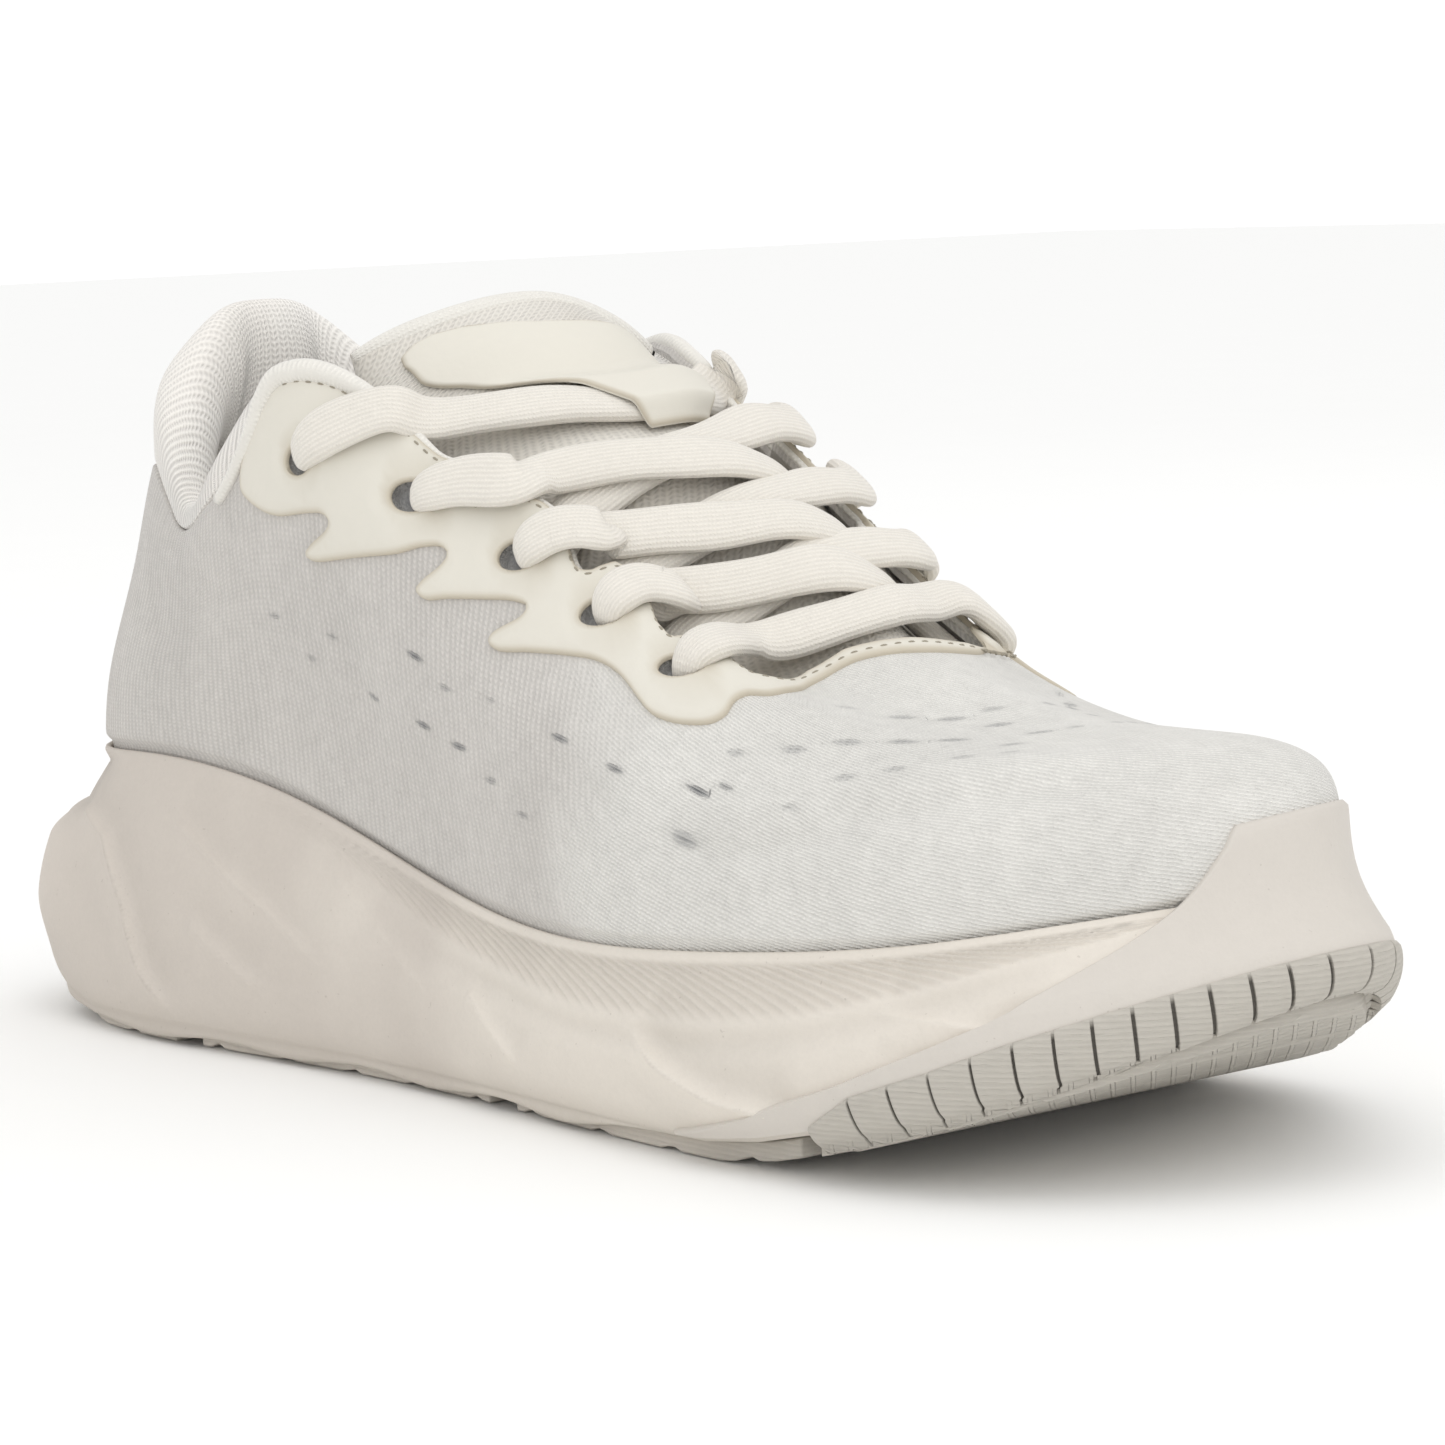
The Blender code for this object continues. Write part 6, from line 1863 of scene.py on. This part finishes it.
def lace_path():
    first = row_bar("L", 4) + cross("L", 4, False) + cross("M", 3, True) + cross("L", 2, False)
    # Under the medial flap from the second eyelet to the top one, and up through it.
    (turn, rise), (top_turn, top_rise) = ROWS["M"][1], ROWS["M"][0]
    first = first[:-2] + [by_flap(turn + 0.04, rise + 0.004, UNDER + 0.1, 2.1, 1.2)]
    first += [by_flap(turn + share * (top_turn - turn), rise + share * (top_rise - rise),
                      UNDER, 2.6) for share in (0.35, 0.65)]
    first += dive("M", 0)[5::-1] + [by_flap(EDGES["M"][0], 1.0, OVER + 0.4)]
    first += [over_tongue(*place) for place in TOP_BAR]
    first += [by_flap(EDGES["L"][0], 1.0, OVER + 0.4)] + dive("L", 0)[:6]
    first += [by_flap(*place, TAIL_W) for place in TOP_TAIL]
    second = row_bar("M", 4) + cross("M", 4, True) + cross("L", 3, False)
    second += cross("M", 2, True)[:-1] + [by_flap(*place, TAIL_W) for place in SECOND_TAIL]
    return first[::-1] + second


def steady_facings(points, facings):
    """Turns facings round where they would flip against the one carried along the path."""
    for i in range(1, len(facings)):
        before = unit(points[i] - points[i - 1])
        after = unit(points[i + 1] - points[i]) if i + 1 < len(points) else before
        axis = np.cross(before, after)
        carried = facings[i - 1]
        cos = float(np.dot(before, after))
        if cos > -0.95:
            swing = np.cross(axis, carried)
            carried = carried + swing + np.cross(axis, swing) / (1 + cos)
        if np.dot(carried, facings[i]) < 0:
            facings[i] = -facings[i]
    return facings


def make_lace():
    keys = lace_path()
    knots = np.array([key[0] for key in keys])
    facings = steady_facings(knots, np.array([key[1] for key in keys]))
    sizes = np.array([key[2:] for key in keys])
    slope = np.vstack([knots[1] - knots[0], (knots[2:] - knots[:-2]) / 2, knots[-1] - knots[-2]])
    at = np.linspace(0, len(knots) - 1, (len(knots) - 1) * 10 + 1)
    i = np.minimum(at.astype(int), len(knots) - 2)
    share = (at - i)[:, None]
    length = np.linalg.norm(knots[i + 1] - knots[i], axis=-1, keepdims=True)

    def limited(vectors):
        size = np.linalg.norm(vectors, axis=-1, keepdims=True)
        return vectors * np.minimum(1, length / np.maximum(size, 1e-9))
    path = hermite(share, knots[i], limited(slope[i]), knots[i + 1], limited(slope[i + 1]))
    run = run_lengths(path)
    count = int(run[-1] / (0.75 if FINE else 1.4))
    even = np.linspace(0, run[-1], count)
    path, facing, size = [
        resample(values, run, even)
        for values in (path, facings[i] * (1 - share) + facings[i + 1] * share,
                       sizes[i] * (1 - share) + sizes[i + 1] * share)]
    # Hold the path through the eyelets, where the lace is narrow, and relax it elsewhere.
    narrow = np.where(size[:, 0] < 2.6)[0]
    gap = np.min(np.abs(np.arange(count)[:, None] - narrow[None]), axis=1)
    free = (1 - 0.8 * bell(gap * 0.75, 3.0))[:, None]
    for _ in range(26 if FINE else 8):
        for values in (path, facing):
            values += (relax(values.copy(), 1) - values) * free
    relax(size, 6)
    plump = 1 + 0.04 * np.sin(even / 7.0) + 0.03 * np.sin(even / 2.9 + 1)
    skin = Skin()
    skin.tube(path, facing, size[:, 0] * 1.14 * plump, size[:, 1] * 1.55 * plump,
              sides=26 if FINE else 14, power=0.88, groove=0.04)
    settle(skin.make("lace_cord", LACE), "lace_cord", "lace")


# ------------------------------------------------------------------ sockliner
def make_sockliner():
    turn = np.linspace(0, STATIONS, 220, endpoint=False)
    floor_lift = LAYER_GAP * 2 + BOARD
    low_lift, top_lift = floor_lift + 0.02, floor_lift + 4.05
    rings = [on_bed(turn, 13.4, low_lift)]
    rings += [on_bed(turn, inward, floor_lift + lift)
              for inward, lift in ((12.7, 0.5), (12.6, 2.0), (12.7, 3.4), (13.3, 4.0))]
    rings.append(on_bed(turn, 14.6, top_lift))
    skin = Skin()
    index = skin.add(np.array(rings))
    skin.quads(index, pair_up(np.append(turn, STATIONS)[None] * SIDE_MM,
                              np.arange(len(rings))[:, None] * 1.2), True)

    def top(x, across):
        """Top face, with a shallow cup under the heel."""
        return bed(x) + top_lift - 0.5 * bell(x - 60, 26.0) * bell(across, 0.7)
    skin.fill(index[-1], 41, top)
    skin.fill(index[0], 15, lambda x, across: bed(x) + low_lift)
    settle(skin.make("sock_liner", SOCK_CLOTH), "sockliner_foam", "sockliner",
           rides="sockliner")


make_midsole()
for pad in PADS:
    make_pad(*pad)
make_toe_strip()
make_guard()
make_upper()
make_lining()
make_collar()
make_film()
make_binding()
make_stitches()
make_tongue()
make_tongue_binding()
make_patch()
make_tongue_back()
make_lace()
make_sockliner()

# CAD pieces that are shown as they are, with a material of their own.
for node_name, material in (("strobel_board", STROBEL), ("toe_puff", STIFF),
                            ("heel_counter", STIFF), ("aglet_upper", AGLET),
                            ("aglet_lower", AGLET)):
    shown = frame["nodes"][node_name]
    shown.data.materials.clear()
    shown.data.materials.append(material)

# ------------------------------------------- floor, sky, lights and camera (metres)
scene = bpy.context.scene


def make_floor():
    half = 6.0
    mesh = bpy.data.meshes.new("studio_floor")
    mesh.from_pydata([(-half, -half, 0), (half, -half, 0), (half, half, 0), (-half, half, 0)],
                     [], [(0, 1, 2, 3)])
    floor = bpy.data.objects.new("studio_floor", mesh)
    floor.location.z = -0.0002
    scene.collection.objects.link(floor)
    mat = Shader("studio_paper", rough=0.9, spec=0.1)
    change = mat.weigh((mat.noise(scale=0.02), 0.01, 0.5))
    floor.data.materials.append(mat.finish(mat.tinted(screen(252, 252, 251), change)))


def make_sky():
    """White sky, brighter towards one direction; the camera sees one even brightness."""
    bright_way = (0.50, -0.22, 0.84)
    low, high, seen_by_camera = 0.64, 1.26, 1.25
    studio = bpy.data.worlds.new("studio")
    studio.use_nodes = True
    nodes, links = studio.node_tree.nodes, studio.node_tree.links
    lean = nodes.new("ShaderNodeVectorMath")
    lean.operation = "DOT_PRODUCT"
    links.new(nodes.new("ShaderNodeTexCoord").outputs["Generated"], lean.inputs[0])
    lean.inputs[1].default_value = bright_way
    spread = nodes.new("ShaderNodeMapRange")
    for socket, value in (("From Min", -0.2), ("From Max", 1.0), ("To Min", low),
                          ("To Max", high)):
        spread.inputs[socket].default_value = value
    links.new(lean.outputs["Value"], spread.inputs["Value"])
    choice = nodes.new("ShaderNodeMix")
    links.new(nodes.new("ShaderNodeLightPath").outputs["Is Camera Ray"], choice.inputs[0])
    links.new(spread.outputs[0], choice.inputs[2])
    choice.inputs[3].default_value = seen_by_camera
    background = nodes["Background"]
    background.inputs["Color"].default_value = (1.0, 1.0, 1.0, 1)
    links.new(choice.outputs[0], background.inputs["Strength"])
    scene.world = studio


def add_light(name, at, aim, wide, tall, power, colour=(1, 1, 1)):
    light = bpy.data.lights.new(name, "AREA")
    light.shape = "RECTANGLE"
    light.size, light.size_y = wide, tall
    light.energy, light.color = power, colour
    lamp = bpy.data.objects.new(name, light)
    lamp.location = at
    lamp.rotation_euler = (Vector(aim) - Vector(at)).to_track_quat("-Z", "Y").to_euler()
    scene.collection.objects.link(lamp)


def make_camera():
    """Looks at the lateral side and toe from a little above."""
    azimuth, elevation, roll = (math.radians(q) for q in (49.70, 6.46, -2.105))
    distance, aim = 797.0, np.array([130.7, 18.5, 53.2])      # mm, shoe's frame
    sin_a, cos_a = math.sin(azimuth), math.cos(azimuth)
    sin_e, cos_e = math.sin(elevation), math.cos(elevation)
    back = np.array([sin_a * cos_e, -cos_a * cos_e, sin_e])
    level = np.array([cos_a, sin_a, 0.0])
    upright = np.array([-sin_a * sin_e, cos_a * sin_e, cos_e])
    right = level * math.cos(roll) + upright * math.sin(roll)
    up = -level * math.sin(roll) + upright * math.cos(roll)
    eye = world(aim + back * distance)
    lens = bpy.data.cameras.new("camera")
    lens.sensor_width = 36.0
    lens.lens = 122.3252595
    lens.clip_start, lens.clip_end = 0.01, 20.0
    camera = bpy.data.objects.new("camera", lens)
    camera.matrix_world = Matrix([(right[k], up[k], back[k], eye[k]) for k in range(3)]
                                 + [(0, 0, 0, 1)])
    scene.collection.objects.link(camera)
    scene.camera = camera


make_floor()
make_sky()
add_light("soft_top", at=(0.25, -0.15, 1.25), aim=(0, 0, 0.05), wide=1.1, tall=0.9,
          power=1.6, colour=(1.0, 0.99, 0.97))
add_light("soft_toe", at=(1.1, -0.75, 0.75), aim=(0.03, 0, 0.06), wide=0.8, tall=0.8,
          power=0.8, colour=(1.0, 0.995, 0.98))
add_light("soft_back", at=(-0.5, 1.1, 0.9), aim=(0, 0, 0.08), wide=0.8, tall=0.6, power=0.5)
make_camera()
scene.view_settings.view_transform = "Standard"
scene.view_settings.look = "None"
scene.view_settings.exposure = -0.06

bpy.context.view_layer.update()
